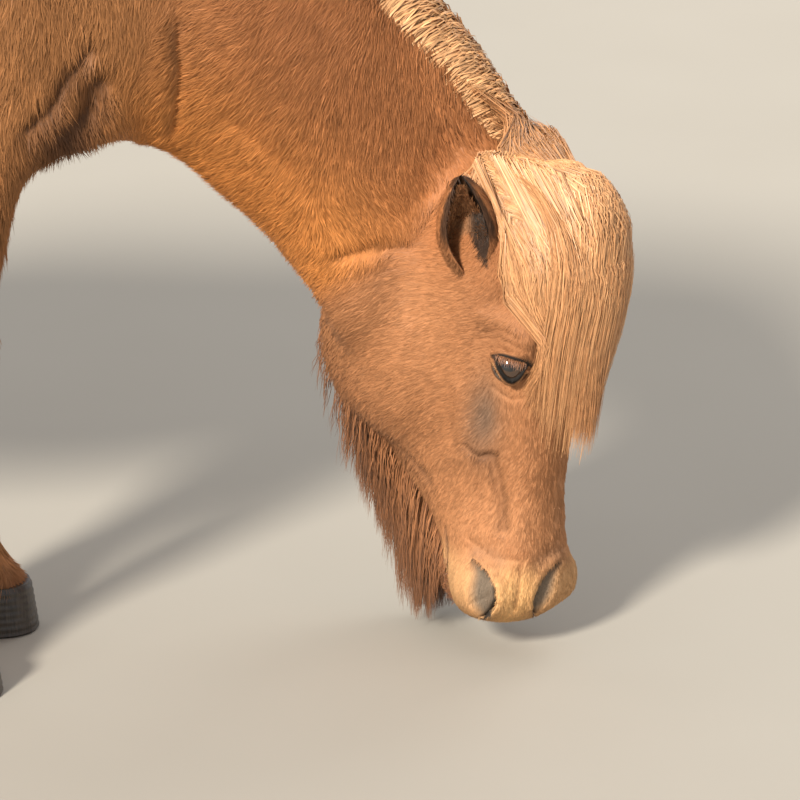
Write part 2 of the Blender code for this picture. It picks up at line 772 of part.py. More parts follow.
# The mane rises over the crest and falls down the left side of the neck.
def mane_locks(surface):
    draw = random.Random(MANE["seed"])
    made = []
    left = Vector((0, 1, 0))
    down = Vector((0, 0, -1))
    for k in range(MANE["count"]):
        share = MANE_FROM + (MANE_TO - MANE_FROM) * k / (MANE["count"] - 1)
        crest, ahead = crest_at(share)
        up = Vector((-ahead.z, 0, ahead.x))
        crest = surface.find_nearest(crest - left * 0.010 + up * 0.02)[0]
        if past_head_cut(crest) > -MANE["wide"] * LOCK_ROOT - 0.002:
            break
        short = 0.70 + 0.30 * math.sin(math.pi * min(k / (MANE["count"] - 1) + 0.2, 1.0))
        length = MANE["length"] * short * draw.uniform(0.86, 1.06)
        path = []
        for step in range(MANE["steps"] + 1):
            fall = (step / MANE["steps"]) ** 1.35 * length
            arch = MANE_ARCH * math.sin(math.pi * min(fall / MANE_OVER, 1.0))
            below = max(fall - MANE_OVER / 2, 0.0)
            point = crest + up * arch + (down + ahead * 0.12) * below
            hit = surface.ray_cast(Vector((point.x, 1.0, point.z)), -left)[0]
            skin = max(hit.y, crest.y) if hit else crest.y + 0.03
            point.y = crest.y + (skin + MANE["off"] - crest.y) * blend(fall / MANE_OVER)
            path.append(point)
        path[0] -= (path[1] - path[0]).normalized() * ROOT_SINK
        made.append(lock(path, MANE, MANE["wide"] * draw.uniform(0.95, 1.05), -ahead))
    return made


# The forelock arches over the poll from between the ears and hangs in front of the face.
def forelock_locks():
    draw = random.Random(FORELOCK["seed"])
    made = []
    count = FORELOCK["count"]
    for layer, (down, out, arch, stand) in enumerate(FORELOCK_LAYERS):
        for k in range(count - layer):
            side = -1 + 2 * (k + 0.5 * layer) / (count - 1)
            length = FORELOCK["length"] * draw.uniform(0.86, 1.0) * (1 - 0.10 * side * side)
            path = []
            for step in range(FORELOCK["steps"] + 1):
                fall = (step / FORELOCK["steps"]) ** 1.3 * length
                rise = arch * math.sin(math.pi * min(fall / 0.09, 1.0))
                reach = blend(fall / 0.085)
                spread = 0.036 + 0.026 * blend(fall / 0.16) - 0.008 * blend(fall / length - 0.3)
                left = side * (1 - 0.05 * (side < 0)) * spread
                front = FRONT_LINE + stand - 0.030 * side * side
                place = (down + max(fall - 0.055, 0.0) - rise, out + (front - out) * reach, left)
                path.append(head_point(*place))
            path[0] -= (path[1] - path[0]).normalized() * ROOT_SINK
            across = FACE_LEFT - OUT_OF_FACE * 0.8 * side
            made.append(lock(path, FORELOCK, FORELOCK["wide"] * draw.uniform(0.9, 1.1), across))
    return made


# The beard hangs from the lower edge of both jaws, longest in the middle of its run.
def beard_locks(surface):
    draw = random.Random(BEARD["seed"])
    made = []
    count = BEARD["count"]
    for side in (-1, 1):
        for k in range(count):
            along = (k + (0.25 if side > 0 else 0.0)) / (count - 1)
            down = 0.205 + 0.165 * along
            out = -0.272 + 0.150 * blend(along)
            guess = head_point(down, out, side * (0.032 - 0.012 * along))
            near, normal = surface.find_nearest(guess)[:2]
            swell = 0.60 + 0.45 * math.sin(math.pi * min(along, 1.0))
            length = BEARD["length"] * swell * draw.uniform(0.9, 1.1)
            start = normal * 0.7 + Vector((0, 0, -1)) + FACE_LEFT * side * 0.2
            hang = Vector((0, 0, -1)) - OUT_OF_FACE * 0.06
            path = lock_path(near, start, hang, length, BEARD, 2.0, surface)
            made.append(lock(path, BEARD, BEARD["wide"], OUT_OF_FACE * side, side))
    return made


# The tail: dock and core, with rows of locks round its back and sides.
def tail_node(skin, group):
    rings = []
    path = between(DOCK, 2)
    for k, (x, z, radius) in enumerate(path):
        before, after = path[max(k - 1, 0)], path[min(k + 1, len(path) - 1)]
        behind = Vector((after[1] - before[1], 0, before[0] - after[0])).normalized() * radius
        rings.append(oval((BREAST_X + x, 0, z), behind, (0, radius, 0), 2.0, 12))
    dock = loft("tail", rings, group)
    draw = random.Random(TAIL["seed"])
    rows = between(DOCK, 6)
    made = []
    count = TAIL["count"]
    for row, (root_z, tip_z, stand) in enumerate(TAIL_ROWS):
        x, z, radius = min(rows[8:], key=lambda r: abs(r[1] - root_z))
        for k in range(count):
            angle = math.radians(-105 + 210 * (k + 0.5 * (row % 2)) / (count - 0.5))
            out = Vector((-math.cos(angle), math.sin(angle), 0))
            length = (z - tip_z) * draw.uniform(0.86, 1.0)
            path = []
            for step in range(TAIL["steps"] + 1):
                share = step / TAIL["steps"]
                swell = radius * 0.85 + (0.012 + stand) * blend(share * 3.0) - 0.35 * stand * share
                drift = Vector((-0.010 * share, 0, -length * share))
                path.append(Vector((BREAST_X + x, 0, z)) + out * swell + drift)
            path[0] -= (path[1] - path[0]).normalized() * ROOT_SINK + out * 0.006
            across = out.cross(Vector((0, 0, 1)))
            made.append(lock(path, TAIL, TAIL["wide"] * draw.uniform(0.9, 1.1), across))
    combine(dock, made, "UNION")
    combine(dock, [grown(copy_of(skin, "skin_copy", WORK), GAP, WORK)], "DIFFERENCE")
    return dock


# Feather: short locks down the back of each fetlock, clear of the hoof.
def feather_locks(rows, side, stagger, surface, draw):
    made = []
    count = FEATHER["count"]
    row = next(r for r in rows if r[0] <= 0.11)
    for k in range(count):
        angle = math.radians(-72 + 144 * k / (count - 1))
        z = 0.122 + 0.012 * (k % 2)
        x = BREAST_X + row[1] + side * stagger
        guess = Vector((x - math.cos(angle) * 0.045, side * row[4] + math.sin(angle) * 0.040, z))
        near, normal = surface.find_nearest(guess)[:2]
        hang = Vector((-0.35 * math.cos(angle), 0.25 * math.sin(angle), -1))
        length = FEATHER["length"] * draw.uniform(0.8, 1.0)
        path = lock_path(near, normal + Vector((0, 0, -1.0)), hang, length, FEATHER, 2.0, surface)
        made.append(lock(path, FEATHER, FEATHER["wide"], normal.cross(Vector((0, 0, 1)))))
    return made


def material(name):
    made = bpy.data.materials.new(name)
    made.use_nodes = True
    shader = made.node_tree.nodes["Principled BSDF"]
    colour, roughness, metallic = FINISHES[name]
    shader.inputs["Base Color"].default_value = (*colour, 1.0)
    shader.inputs["Roughness"].default_value = roughness
    shader.inputs["Metallic"].default_value = metallic
    return made


def finish_of(name):
    if name.startswith("hoof"):
        return "horn"
    if name.startswith("eye"):
        return "eye"
    return "coat"


def build(group):
    body = whole_body(group)
    skin = copy_of(body, "skin", WORK)
    fat = grown(skin, GAP, WORK)
    head = split_off(body, "head", head_block, group)
    neck = split_off(body, "neck", neck_block, group)
    legs = leg_pieces(body, "fore", LEG_CUT, KNEE_CUT, *FORE_REACH, group)
    legs += leg_pieces(body, "hind", HIND_CUT, HOCK_CUT, *HIND_REACH, group)
    body.name = "torso"
    body.data.name = "torso"
    eyes = []
    for side, side_name in ((-1, "right"), (1, "left")):
        lids(head, side, group)
        eyes.append(eyeball(f"eye_{side_name}", side, EYE_RADIUS, group))
    combine(head, [nostril(-1), nostril(1)] + mouth_grooves(head), "DIFFERENCE")
    ears = []
    for side, side_name in ((-1, "right"), (1, "left")):
        made = ear(f"ear_{side_name}", side, group)
        combine(made, [copy_of(fat, "root_cut", WORK)], "DIFFERENCE")
        ears.append(made)
    shells = [copy_of(made, "shell", WORK) for made in [skin] + ears]
    surface = BVHTree.FromObject(join(shells, "surface", WORK), bpy.context.evaluated_depsgraph_get())
    combine(head, forelock_locks() + beard_locks(surface), "UNION")
    combine(neck, mane_locks(surface), "UNION")
    combine(head, [grown(other, TRIM, WORK) for other in ears + eyes], "DIFFERENCE")
    combine(neck, [grown(other, TRIM, WORK) for other in ears + [head]], "DIFFERENCE")
    draw = random.Random(FEATHER["seed"])
    for leg in legs:
        if "lower" not in leg.name:
            continue
        side = -1 if "right" in leg.name else 1
        fore = leg.name.startswith("fore")
        rows, stagger = (FORELEG, FORE_STAGGER) if fore else (HINDLEG, -HIND_STAGGER)
        combine(leg, feather_locks(rows, side, stagger, surface, draw), "UNION")
    feet = hooves(group)
    for foot in feet:
        pair, side_name = foot.name.split("_")[1:]
        leg = next(made for made in legs if made.name == f"{pair}leg_lower_{side_name}")
        combine(leg, [grown(foot, TRIM, WORK)], "DIFFERENCE")
    nodes = [head, neck, body] + legs + eyes + ears + feet + [tail_node(skin, group)]
    for made in nodes:
        made.data.materials.clear()
        made.data.materials.append(MATERIALS[finish_of(made.name)])
        made.data.shade_smooth()
        made.data.set_sharp_from_angle(angle=math.radians(40))
    return nodes


clear_scene()
PONY = bpy.data.collections.new("shetland_pony")
WORK = bpy.data.collections.new("cutters")
bpy.context.scene.collection.children.link(PONY)
bpy.context.scene.collection.children.link(WORK)
MATERIALS = {key: material(key) for key in FINISHES}
for node in build(PONY):
    print(node.name, len(node.data.polygons))
for scrap in list(WORK.objects):
    bpy.data.objects.remove(scrap, do_unlink=True)
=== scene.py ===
import json
import math

import bmesh
import bpy
import numpy as np
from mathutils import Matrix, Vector
from mathutils.bvhtree import BVHTree

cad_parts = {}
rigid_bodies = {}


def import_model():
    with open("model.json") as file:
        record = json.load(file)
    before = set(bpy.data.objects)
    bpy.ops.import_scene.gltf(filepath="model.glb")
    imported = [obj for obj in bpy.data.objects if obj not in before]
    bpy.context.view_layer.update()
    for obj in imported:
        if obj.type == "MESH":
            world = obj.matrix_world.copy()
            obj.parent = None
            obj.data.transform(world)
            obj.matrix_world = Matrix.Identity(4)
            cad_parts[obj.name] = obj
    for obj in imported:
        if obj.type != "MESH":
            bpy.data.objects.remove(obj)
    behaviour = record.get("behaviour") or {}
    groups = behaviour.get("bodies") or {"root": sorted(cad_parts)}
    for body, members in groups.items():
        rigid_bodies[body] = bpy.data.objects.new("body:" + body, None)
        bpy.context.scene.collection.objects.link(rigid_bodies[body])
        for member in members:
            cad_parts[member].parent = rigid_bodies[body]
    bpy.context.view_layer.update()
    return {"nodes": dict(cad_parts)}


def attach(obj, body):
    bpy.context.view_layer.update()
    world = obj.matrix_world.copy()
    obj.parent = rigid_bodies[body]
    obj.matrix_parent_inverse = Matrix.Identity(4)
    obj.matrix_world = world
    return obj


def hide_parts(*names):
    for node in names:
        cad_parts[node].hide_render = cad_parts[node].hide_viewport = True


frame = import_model()

# Named sizes of the body. A station's x is counted from the breast, where neck and chest meet.
pony = {
    "breastX": 0.3114,
    "voxel": 0.0088,
    "torso": ((-0.020, 0.690, 0.570, 0.040), (-0.050, 0.780, 0.520, 0.085),
              (-0.095, 0.855, 0.482, 0.128), (-0.150, 0.895, 0.458, 0.152),
              (-0.215, 0.920, 0.445, 0.168), (-0.320, 0.902, 0.422, 0.192),
              (-0.450, 0.882, 0.402, 0.212), (-0.580, 0.882, 0.408, 0.216),
              (-0.700, 0.895, 0.445, 0.206), (-0.800, 0.896, 0.500, 0.190),
              (-0.890, 0.862, 0.550, 0.160), (-0.950, 0.800, 0.590, 0.118),
              (-0.985, 0.740, 0.640, 0.060)),  # x, top, bottom, half width
    "neck": ((-0.150, 0.490, -0.220, 0.905, 0.140, 0.000, 0.0),
             (-0.050, 0.510, -0.090, 0.898, 0.130, 0.005, 0.0),
             (0.022, 0.494, 0.060, 0.830, 0.113, 0.022, 0.0),
             (0.068, 0.452, 0.172, 0.735, 0.098, 0.044, 0.1),
             (0.107, 0.412, 0.250, 0.640, 0.087, 0.062, 0.2),
             (0.136, 0.374, 0.304, 0.570, 0.079, 0.074, 0.3),
             (0.163, 0.336, 0.340, 0.510, 0.072, 0.080, 0.4),
             (0.190, 0.290, 0.368, 0.465, 0.066, 0.078, 0.5),
             (0.240, 0.270, 0.375, 0.430, 0.050, 0.072, 0.6)),
    # x and z under the neck, x and z on the crest, half width, bend to the left, turn
    "crestThin": 0.42,
    "foreleg": ((0.620, -0.150, 0.070, 0.040, 0.096), (0.520, -0.166, 0.082, 0.052, 0.098),
                (0.450, -0.172, 0.063, 0.047, 0.096), (0.380, -0.178, 0.051, 0.041, 0.094),
                (0.320, -0.182, 0.043, 0.037, 0.092), (0.275, -0.181, 0.042, 0.038, 0.091),
                (0.235, -0.185, 0.035, 0.033, 0.091), (0.180, -0.188, 0.030, 0.029, 0.090),
                (0.130, -0.188, 0.031, 0.030, 0.090), (0.100, -0.185, 0.036, 0.034, 0.090),
                (0.074, -0.174, 0.033, 0.033, 0.090), (0.052, -0.163, 0.036, 0.036, 0.090),
                (0.030, -0.160, 0.034, 0.034, 0.090)),
    "hindleg": ((0.700, -0.830, 0.080, 0.050, 0.105), (0.600, -0.838, 0.115, 0.072, 0.114),
                (0.500, -0.824, 0.105, 0.070, 0.114), (0.425, -0.836, 0.077, 0.056, 0.110),
                (0.355, -0.866, 0.054, 0.044, 0.104), (0.305, -0.890, 0.049, 0.039, 0.100),
                (0.262, -0.896, 0.046, 0.036, 0.098), (0.215, -0.888, 0.037, 0.033, 0.096),
                (0.155, -0.880, 0.032, 0.031, 0.095), (0.102, -0.872, 0.037, 0.035, 0.094),
                (0.074, -0.860, 0.034, 0.033, 0.094), (0.052, -0.848, 0.037, 0.036, 0.094),
                (0.030, -0.845, 0.035, 0.034, 0.094)),
    # height, middle x, half length, half width, how far the middle is from the midline
    "foreStagger": 0.012,
    "hindStagger": 0.035,
    "muscles": ((-0.130, 0.088, 0.650, 0.090, 0.060, 0.160),
                (-0.060, 0.062, 0.570, 0.058, 0.050, 0.065),
                (-0.760, 0.118, 0.560, 0.080, 0.070, 0.115),
                (-0.890, 0.085, 0.650, 0.080, 0.070, 0.120),
                (-0.215, 0.100, 0.515, 0.055, 0.042, 0.060)),
    "dock": ((-0.920, 0.835, 0.030), (-0.965, 0.828, 0.032), (-1.000, 0.792, 0.031),
             (-1.014, 0.735, 0.029), (-1.018, 0.660, 0.028), (-1.020, 0.560, 0.024),
             (-1.022, 0.460, 0.012)),
}
head = {
    "poll": (0.419, -0.028, 0.451),
    "turn": math.radians(42), "tuck": math.radians(7),
    "twist": math.radians(8), "twistFrom": 0.20, "twistOver": 0.20, "twistAxis": -0.06,
    "rows": ((-0.012, -0.070, -0.130, 0.038, 2.0), (0.000, -0.040, -0.175, 0.056, 2.0),
             (0.040, -0.016, -0.215, 0.068, 2.1), (0.080, -0.002, -0.244, 0.073, 2.2),
             (0.120, 0.005, -0.262, 0.074, 2.2), (0.155, 0.006, -0.272, 0.073, 2.2),
             (0.190, 0.004, -0.276, 0.070, 2.2), (0.220, 0.001, -0.275, 0.065, 2.2),
             (0.248, -0.001, -0.272, 0.060, 2.2), (0.274, -0.002, -0.262, 0.056, 2.3),
             (0.302, -0.002, -0.228, 0.053, 2.4), (0.330, 0.000, -0.180, 0.053, 2.5),
             (0.358, 0.004, -0.145, 0.055, 2.5), (0.384, 0.005, -0.126, 0.060, 2.5),
             (0.404, 0.001, -0.114, 0.059, 2.4), (0.419, -0.010, -0.100, 0.051, 2.2),
             (0.428, -0.026, -0.084, 0.035, 2.0)),
    # distance from the poll, front line, back line, half width, squareness
    "muscles": ((0.185, -0.180, 0.042, 0.105, 0.096, 0.044),
                (0.132, -0.030, 0.046, 0.032, 0.028, 0.020),
                (0.235, -0.066, 0.048, 0.060, 0.013, 0.016),
                (0.060, -0.070, 0.036, 0.055, 0.055, 0.028),
                (0.390, -0.034, 0.046, 0.030, 0.030, 0.021),
                (0.412, -0.056, 0.024, 0.014, 0.036, 0.028)),
    "chin": (0.398, -0.098, 0.0, 0.022, 0.022, 0.034),
}


def ease(t):  # 3t2 - 2t3 between 0 and 1
    t = np.clip(t, 0.0, 1.0)
    return t * t * (3 - 2 * t)


def unit(v):
    return v / np.maximum(np.linalg.norm(v, axis=-1, keepdims=True), 1e-12)


def alongRows(rows, share):  # Catmull-Rom curve through the rows, at shares 0 to 1 of their count
    rows = np.asarray(rows, float)
    padded = np.vstack([rows[:1], rows, rows[-1:]])
    last = len(rows) - 1
    place = np.clip(share, 0, 1) * last
    k = np.minimum(place.astype(int), last - 1)
    t = (place - k)[..., None]
    a, b, c, d = (padded[k + j] for j in range(4))
    return 0.5 * (2 * b + (c - a) * t + (2 * a - 5 * b + 4 * c - d) * t ** 2
                  + (3 * b - a - 3 * c + d) * t ** 3)


def rowsBetween(rows, steps):
    return alongRows(rows, np.linspace(0, 1, steps * (len(rows) - 1) + 1))


poll = np.array([pony["breastX"] + head["poll"][0], *head["poll"][1:]])
heading = np.array([math.cos(head["turn"]), -math.sin(head["turn"]), 0.0])
upward = np.array([0.0, 0.0, 1.0])
faceDown = -math.sin(head["tuck"]) * heading - math.cos(head["tuck"]) * upward
faceOut = math.cos(head["tuck"]) * heading - math.sin(head["tuck"]) * upward
faceLeft = np.array([math.sin(head["turn"]), math.cos(head["turn"]), 0.0])


# A point of the head from its distances down the face, out of it and to its left: the poll plus
# the three directions, the last two turned about the jaw's axis by the muzzle's twist.
def headPoint(down, out, left):
    down, out, left = np.broadcast_arrays(down, out, left)
    turn = -head["twist"] * ease((down - head["twistFrom"]) / head["twistOver"])
    away = out - head["twistAxis"]
    outTurned = head["twistAxis"] + away * np.cos(turn) - left * np.sin(turn)
    leftTurned = away * np.sin(turn) + left * np.cos(turn)
    return (poll + down[..., None] * faceDown + outTurned[..., None] * faceOut
            + leftTurned[..., None] * faceLeft)


def headPlace(points):  # the other way: down, out and left of points
    away = points - poll
    down = away @ faceDown
    turn = -head["twist"] * ease((down - head["twistFrom"]) / head["twistOver"])
    o, l = away @ faceOut - head["twistAxis"], away @ faceLeft
    return (down, head["twistAxis"] + o * np.cos(turn) + l * np.sin(turn),
            -o * np.sin(turn) + l * np.cos(turn))


# A mesh from arrays of points and of faces with equally many corners.
def makeMesh(name, points, faces):
    mesh = bpy.data.meshes.new(name)
    mesh.vertices.add(len(points))
    mesh.vertices.foreach_set("co", np.asarray(points, np.float32).ravel())
    mesh.loops.add(faces.size)
    mesh.loops.foreach_set("vertex_index", np.asarray(faces, np.int32).ravel())
    mesh.polygons.add(len(faces))
    mesh.polygons.foreach_set("loop_start", np.arange(len(faces), dtype=np.int32) * faces.shape[1])
    mesh.update(calc_edges=True)
    mesh.shade_smooth()
    return mesh


def makePiece(name, mesh, material=None):
    piece = bpy.data.objects.new(name, mesh)
    bpy.context.scene.collection.objects.link(piece)
    if material:
        mesh.materials.clear()
        mesh.materials.append(material)
    return piece


def meshArrays(mesh):
    mesh.calc_loop_triangles()
    points = np.empty(len(mesh.vertices) * 3)
    mesh.vertices.foreach_get("co", points)
    tris = np.empty(len(mesh.loop_triangles) * 3, np.int32)
    mesh.loop_triangles.foreach_get("vertices", tris)
    normals = np.empty(len(mesh.vertices) * 3)
    mesh.vertices.foreach_get("normal", normals)
    return points.reshape(-1, 3), tris.reshape(-1, 3), normals.reshape(-1, 3)


# Rings of points joined to a closed tube: side faces between neighbours, a fan on each end.
def tube(rings):
    n, m = rings.shape[:2]
    points = np.vstack([rings.reshape(-1, 3), rings[0].mean(0), rings[-1].mean(0)])
    i, k = np.arange(m), np.arange(n - 1)[:, None] * m
    j = (i + 1) % m
    sides = np.concatenate([np.stack(np.broadcast_arrays(k + i, k + j, k + m + j), -1),
                            np.stack(np.broadcast_arrays(k + i, k + m + j, k + m + i), -1)])
    first = np.stack([j, i, np.full(m, n * m)], -1)
    last = np.stack([(n - 1) * m + i, (n - 1) * m + j, np.full(m, n * m + 1)], -1)
    return points, np.concatenate([sides.reshape(-1, 3), first, last])


# Rings of a rounded oval: cosine and sine raised to 2 / power, on two axes at each centre.
def ovals(centres, across, up, power, count=28):
    angle = 2 * np.pi * np.arange(count) / count
    power = np.asarray(power, float).reshape(-1, 1)
    a = np.sign(np.cos(angle)) * np.abs(np.cos(angle)) ** (2 / power)
    b = np.sign(np.sin(angle)) * np.abs(np.sin(angle)) ** (2 / power)
    return (centres[:, None] + a[..., None] * across[:, None] + b[..., None] * up[:, None], a, b)


def ellipsoid(centre, axes, rings=14):  # sine and cosine of latitude on three axes
    theta = np.linspace(0.06, np.pi - 0.06, rings)[:, None, None]
    phi = 2 * np.pi * np.arange(22)[None, :, None] / 22
    return tube(centre + np.sin(theta) * np.cos(phi) * axes[0] + np.sin(theta) * np.sin(phi) * axes[1]
                + np.cos(theta) * axes[2])


def headEllipsoid(row, side):
    place = np.array(row[:3]) * (1, 1, side)
    centre = headPoint(*place)
    axes = [headPoint(*(place + np.eye(3)[k] * row[3 + k])) - centre for k in range(3)]
    return ellipsoid(centre, axes)


def bodyForms():
    x0 = pony["breastX"]
    rows = rowsBetween(pony["torso"], 3)
    zero = np.zeros(len(rows))
    centres = np.stack([x0 + rows[:, 0], zero, (rows[:, 1] + rows[:, 2]) / 2], 1)
    high = np.stack([zero, zero, (rows[:, 1] - rows[:, 2]) / 2], 1)
    forms = [tube(ovals(centres, np.stack([zero, rows[:, 3], zero], 1), high, 2.15)[0])]

    rows = rowsBetween(pony["neck"], 3)
    under = np.stack([x0 + rows[:, 0], rows[:, 5], rows[:, 1]], 1)
    crest = np.stack([x0 + rows[:, 2], rows[:, 5], rows[:, 3]], 1)
    turn = rows[:, 6:7]
    across = unit(np.array([0, 1, 0]) * (1 - turn) + faceLeft * turn) * rows[:, 4:5]
    middle = (under + crest) / 2
    rings, a, b = ovals(middle, across * 0, (crest - under) / 2, 2.1)
    thin = 1 - pony["crestThin"] * ease((b + 0.15) / 1.15)
    forms.append(tube(rings + (a * thin)[..., None] * across[:, None]))

    rows = rowsBetween(head["rows"], 3)
    zero = np.zeros(len(rows))
    a, b = ovals(np.zeros((len(rows), 3)), np.zeros((len(rows), 3)), np.zeros((len(rows), 3)),
                 rows[:, 4])[1:]
    out = (rows[:, 1:2] + rows[:, 2:3]) / 2 + a * (rows[:, 1:2] - rows[:, 2:3]) / 2
    left = b * rows[:, 3:4] * (1 - 0.30 * ease(-a))
    forms.append(tube(headPoint(rows[:, 0:1] + 0 * out, out, left)))
    for side in (-1, 1):
        for key, stagger in (("foreleg", pony["foreStagger"]), ("hindleg", -pony["hindStagger"])):
            rows = rowsBetween(pony[key], 2)
            zero = np.zeros(len(rows))
            lean = side * stagger * (1 - ease(rows[:, 0] / 0.5))
            centres = np.stack([x0 + rows[:, 1] + lean, side * rows[:, 4], rows[:, 0]], 1)
            long, wide = rows[:, 2], rows[:, 3]
            forms.append(tube(ovals(centres, np.stack([long, zero, zero], 1),
                                    np.stack([zero, wide, zero], 1), 2.0)[0]))
        for row in pony["muscles"]:
            centre = np.array([x0 + row[0], side * row[1], row[2]])
            forms.append(ellipsoid(centre, np.diag(row[3:])))
        for row in head["muscles"]:
            forms.append(headEllipsoid(row, side))
    forms.append(headEllipsoid(head["chin"], 1))
    rows = rowsBetween(pony["dock"], 2)
    ahead = np.gradient(rows[:, :2], axis=0)
    behind = unit(np.stack([ahead[:, 1], 0 * ahead[:, 0], -ahead[:, 0]], 1)) * rows[:, 2:3] * 0.9
    centres = np.stack([x0 + rows[:, 0], 0 * rows[:, 0], rows[:, 1]], 1)
    side = np.stack([0 * rows[:, 0], rows[:, 2] * 0.9, 0 * rows[:, 0]], 1)
    forms.append(tube(ovals(centres[:12], behind[:12], side[:12], 2.0, 16)[0]))
    return forms


# Each point moves to the mean of its neighbours by its weight, many times over.
def relax(points, edges, weight, rounds):
    count = len(points)
    here = np.concatenate([edges[:, 0], edges[:, 1]])
    there = np.concatenate([edges[:, 1], edges[:, 0]])
    degree = np.maximum(np.bincount(here, minlength=count), 1)[:, None]
    for _ in range(rounds):
        mean = np.stack([np.bincount(here, points[there, k], count) for k in range(3)], 1) / degree
        points = points + (mean - points) * weight[:, None]
    return points


def edgeArray(mesh):
    edges = np.empty(len(mesh.edges) * 2, np.int32)
    mesh.edges.foreach_get("vertices", edges)
    return edges.reshape(-1, 2)


def movePoints(mesh, points):
    mesh.vertices.foreach_set("co", np.asarray(points, np.float32).ravel())
    mesh.update()


def applied(piece):
    mesh = bpy.data.meshes.new_from_object(piece.evaluated_get(bpy.context.evaluated_depsgraph_get()))
    piece.modifiers.clear()
    piece.data = mesh
    return mesh


def refine(mesh, wanted):  # splits the faces whose middles wanted() picks
    middles = np.empty(len(mesh.polygons) * 3)
    mesh.polygons.foreach_get("center", middles)
    picked = np.flatnonzero(wanted(middles.reshape(-1, 3)))
    work = bmesh.new()
    work.from_mesh(mesh)
    work.faces.ensure_lookup_table()
    edges = {edge for k in picked for edge in work.faces[k].edges}
    bmesh.ops.subdivide_edges(work, edges=list(edges), cuts=1, use_grid_fill=True)
    bmesh.ops.triangulate(work, faces=[f for f in work.faces if len(f.verts) > 4])
    work.to_mesh(mesh)
    work.free()


# How near points lie to a line of places: e to the minus square of distance over width.
def nearLine(flat, line, width):
    near = np.zeros(len(flat))
    for a, b in zip(np.array(line[:-1], float), np.array(line[1:], float)):
        share = np.clip(((flat - a) @ (b - a)) / ((b - a) @ (b - a)), 0, 1)
        away = np.linalg.norm(flat - a - share[:, None] * (b - a), axis=1)
        near = np.maximum(near, np.exp(-(away / width) ** 2))
    return near


def nearSpot(flat, spot, radii):
    return np.exp(-(((flat - spot) / radii) ** 2).sum(1))


# How much of a point belongs to the head: 0 on the neck, 1 past the jaw's back line.
def headShare(points):
    x = points[:, 0] - pony["breastX"]
    past = (x - 0.165) * (0.500 - 0.338) - (points[:, 2] - 0.338) * (0.345 - 0.165)
    return ease(past / math.hypot(0.162, 0.180) / 0.05 + 0.5)


# Coat depth between the skin and the solids, by place.
depths = {"body": 0.0055, "head": 0.0030, "muzzle": 0.0010, "leg": 0.0030}


def coatDepth(points):
    down = headPlace(points)[0]
    onHead = headShare(points)
    depth = depths["body"] + (depths["head"] - depths["body"]) * onHead
    depth += (depths["muzzle"] - depths["head"]) * onHead * ease((down - 0.28) / 0.08)
    low = 1 - ease((points[:, 2] - 0.20) / 0.25)
    return np.where(onHead > 0.01, depth, depth + (depths["leg"] - depth) * low)


eye = {"place": (0.155, -0.036, 0.0485), "radius": 0.0190, "facing": (0.62, 0.38, -0.12),
       "middle": -0.03, "half": 0.82, "top": 0.41, "deep": 0.84, "skew": 1.6, "lid": 0.0024}
# facing: to the side, out of the face, down; the rest in shares of the ball's radius


def eyeAxes(side):
    centre = headPoint(eye["place"][0], eye["place"][1], side * eye["place"][2])
    to = eye["facing"]
    outward = unit(faceLeft * side * to[0] + faceOut * to[1] + faceDown * to[2])
    along = unit(faceOut - (faceOut @ outward) * outward)
    over = np.cross(outward, along)
    over = over if over @ faceDown < 0 else -over
    return centre, outward, along, over


# How far a direction from the ball's middle lies outside the slit between the lids: above the
# flat upper lid, below the lower one, which hangs deepest toward the front, or past a corner.
def pastSlit(along, over):
    share = np.clip((along + eye["half"] - eye["middle"]) / (2 * eye["half"]), 0, 1)
    top = eye["top"] + 0.10 * (0.5 - share) - 0.14 * share ** 8 - 0.34 * (1 - share) ** 5
    bottom = eye["top"] + 0.08 * (0.5 - share) - eye["deep"] * np.sin(np.pi * share ** eye["skew"]) ** 0.8
    return np.maximum(np.maximum(over - top, bottom - over),
                      np.abs(along - eye["middle"]) - eye["half"])


def sculptEye(points, side):
    centre, outward, along, over = eyeAxes(side)
    away = points - centre
    reach = np.linalg.norm(away, axis=1)
    toward = away / reach[:, None]
    a, h, o = toward @ along, toward @ over, toward @ outward
    past = pastSlit(a, h)
    ball = eye["radius"]
    lid = ball + eye["lid"] + 0.0006 * np.exp(-((past - 0.10) / 0.06) ** 2)
    shadedFold = np.where(h > 0, 0.0013, 0.0008) * np.exp(-((past - np.where(h > 0, 0.30, 0.26)) / 0.055) ** 2)
    outer = np.maximum(reach, lid - 0.016 * ease((past - 0.30) / 0.9)) - shadedFold
    target = np.where(past < 0.0, ball - 0.002, ball - 0.002 + (outer - ball + 0.002) * ease(past / 0.07))
    near = (o > 0.12) & (reach < 0.042)
    return np.where(near[:, None], centre + toward * target[:, None], points)


# The muzzle is turned further than the bones of the face: its features sit by distance down the
# face and by how far round the muzzle they are from its own middle line.
nostril = {
    "turn": math.radians(28), "turnFrom": 0.27, "turnOver": 0.09, "axis": -0.060, "round": 0.060,
    "front": ((0.3575, 0.0500), (0.3590, 0.0400), (0.3640, 0.0290), (0.3760, 0.0195),
              (0.3920, 0.0165), (0.4050, 0.0205), (0.4130, 0.0270)),
    "back": ((0.4110, 0.0350), (0.4000, 0.0430), (0.3860, 0.0460), (0.3720, 0.0470), (0.3620, 0.0505)),
    "deep": 0.017, "steep": 0.0030, "fade": 0.014,
}


def muzzlePlace(points):  # how far down, how far round from the middle line, and which side
    down, out, left = headPlace(points)
    angle = np.arctan2(left, out - nostril["axis"])
    angle += nostril["turn"] * ease((down - nostril["turnFrom"]) / nostril["turnOver"])
    return down, np.abs(angle) * nostril["round"], np.where(angle < 0, -1.0, 1.0)


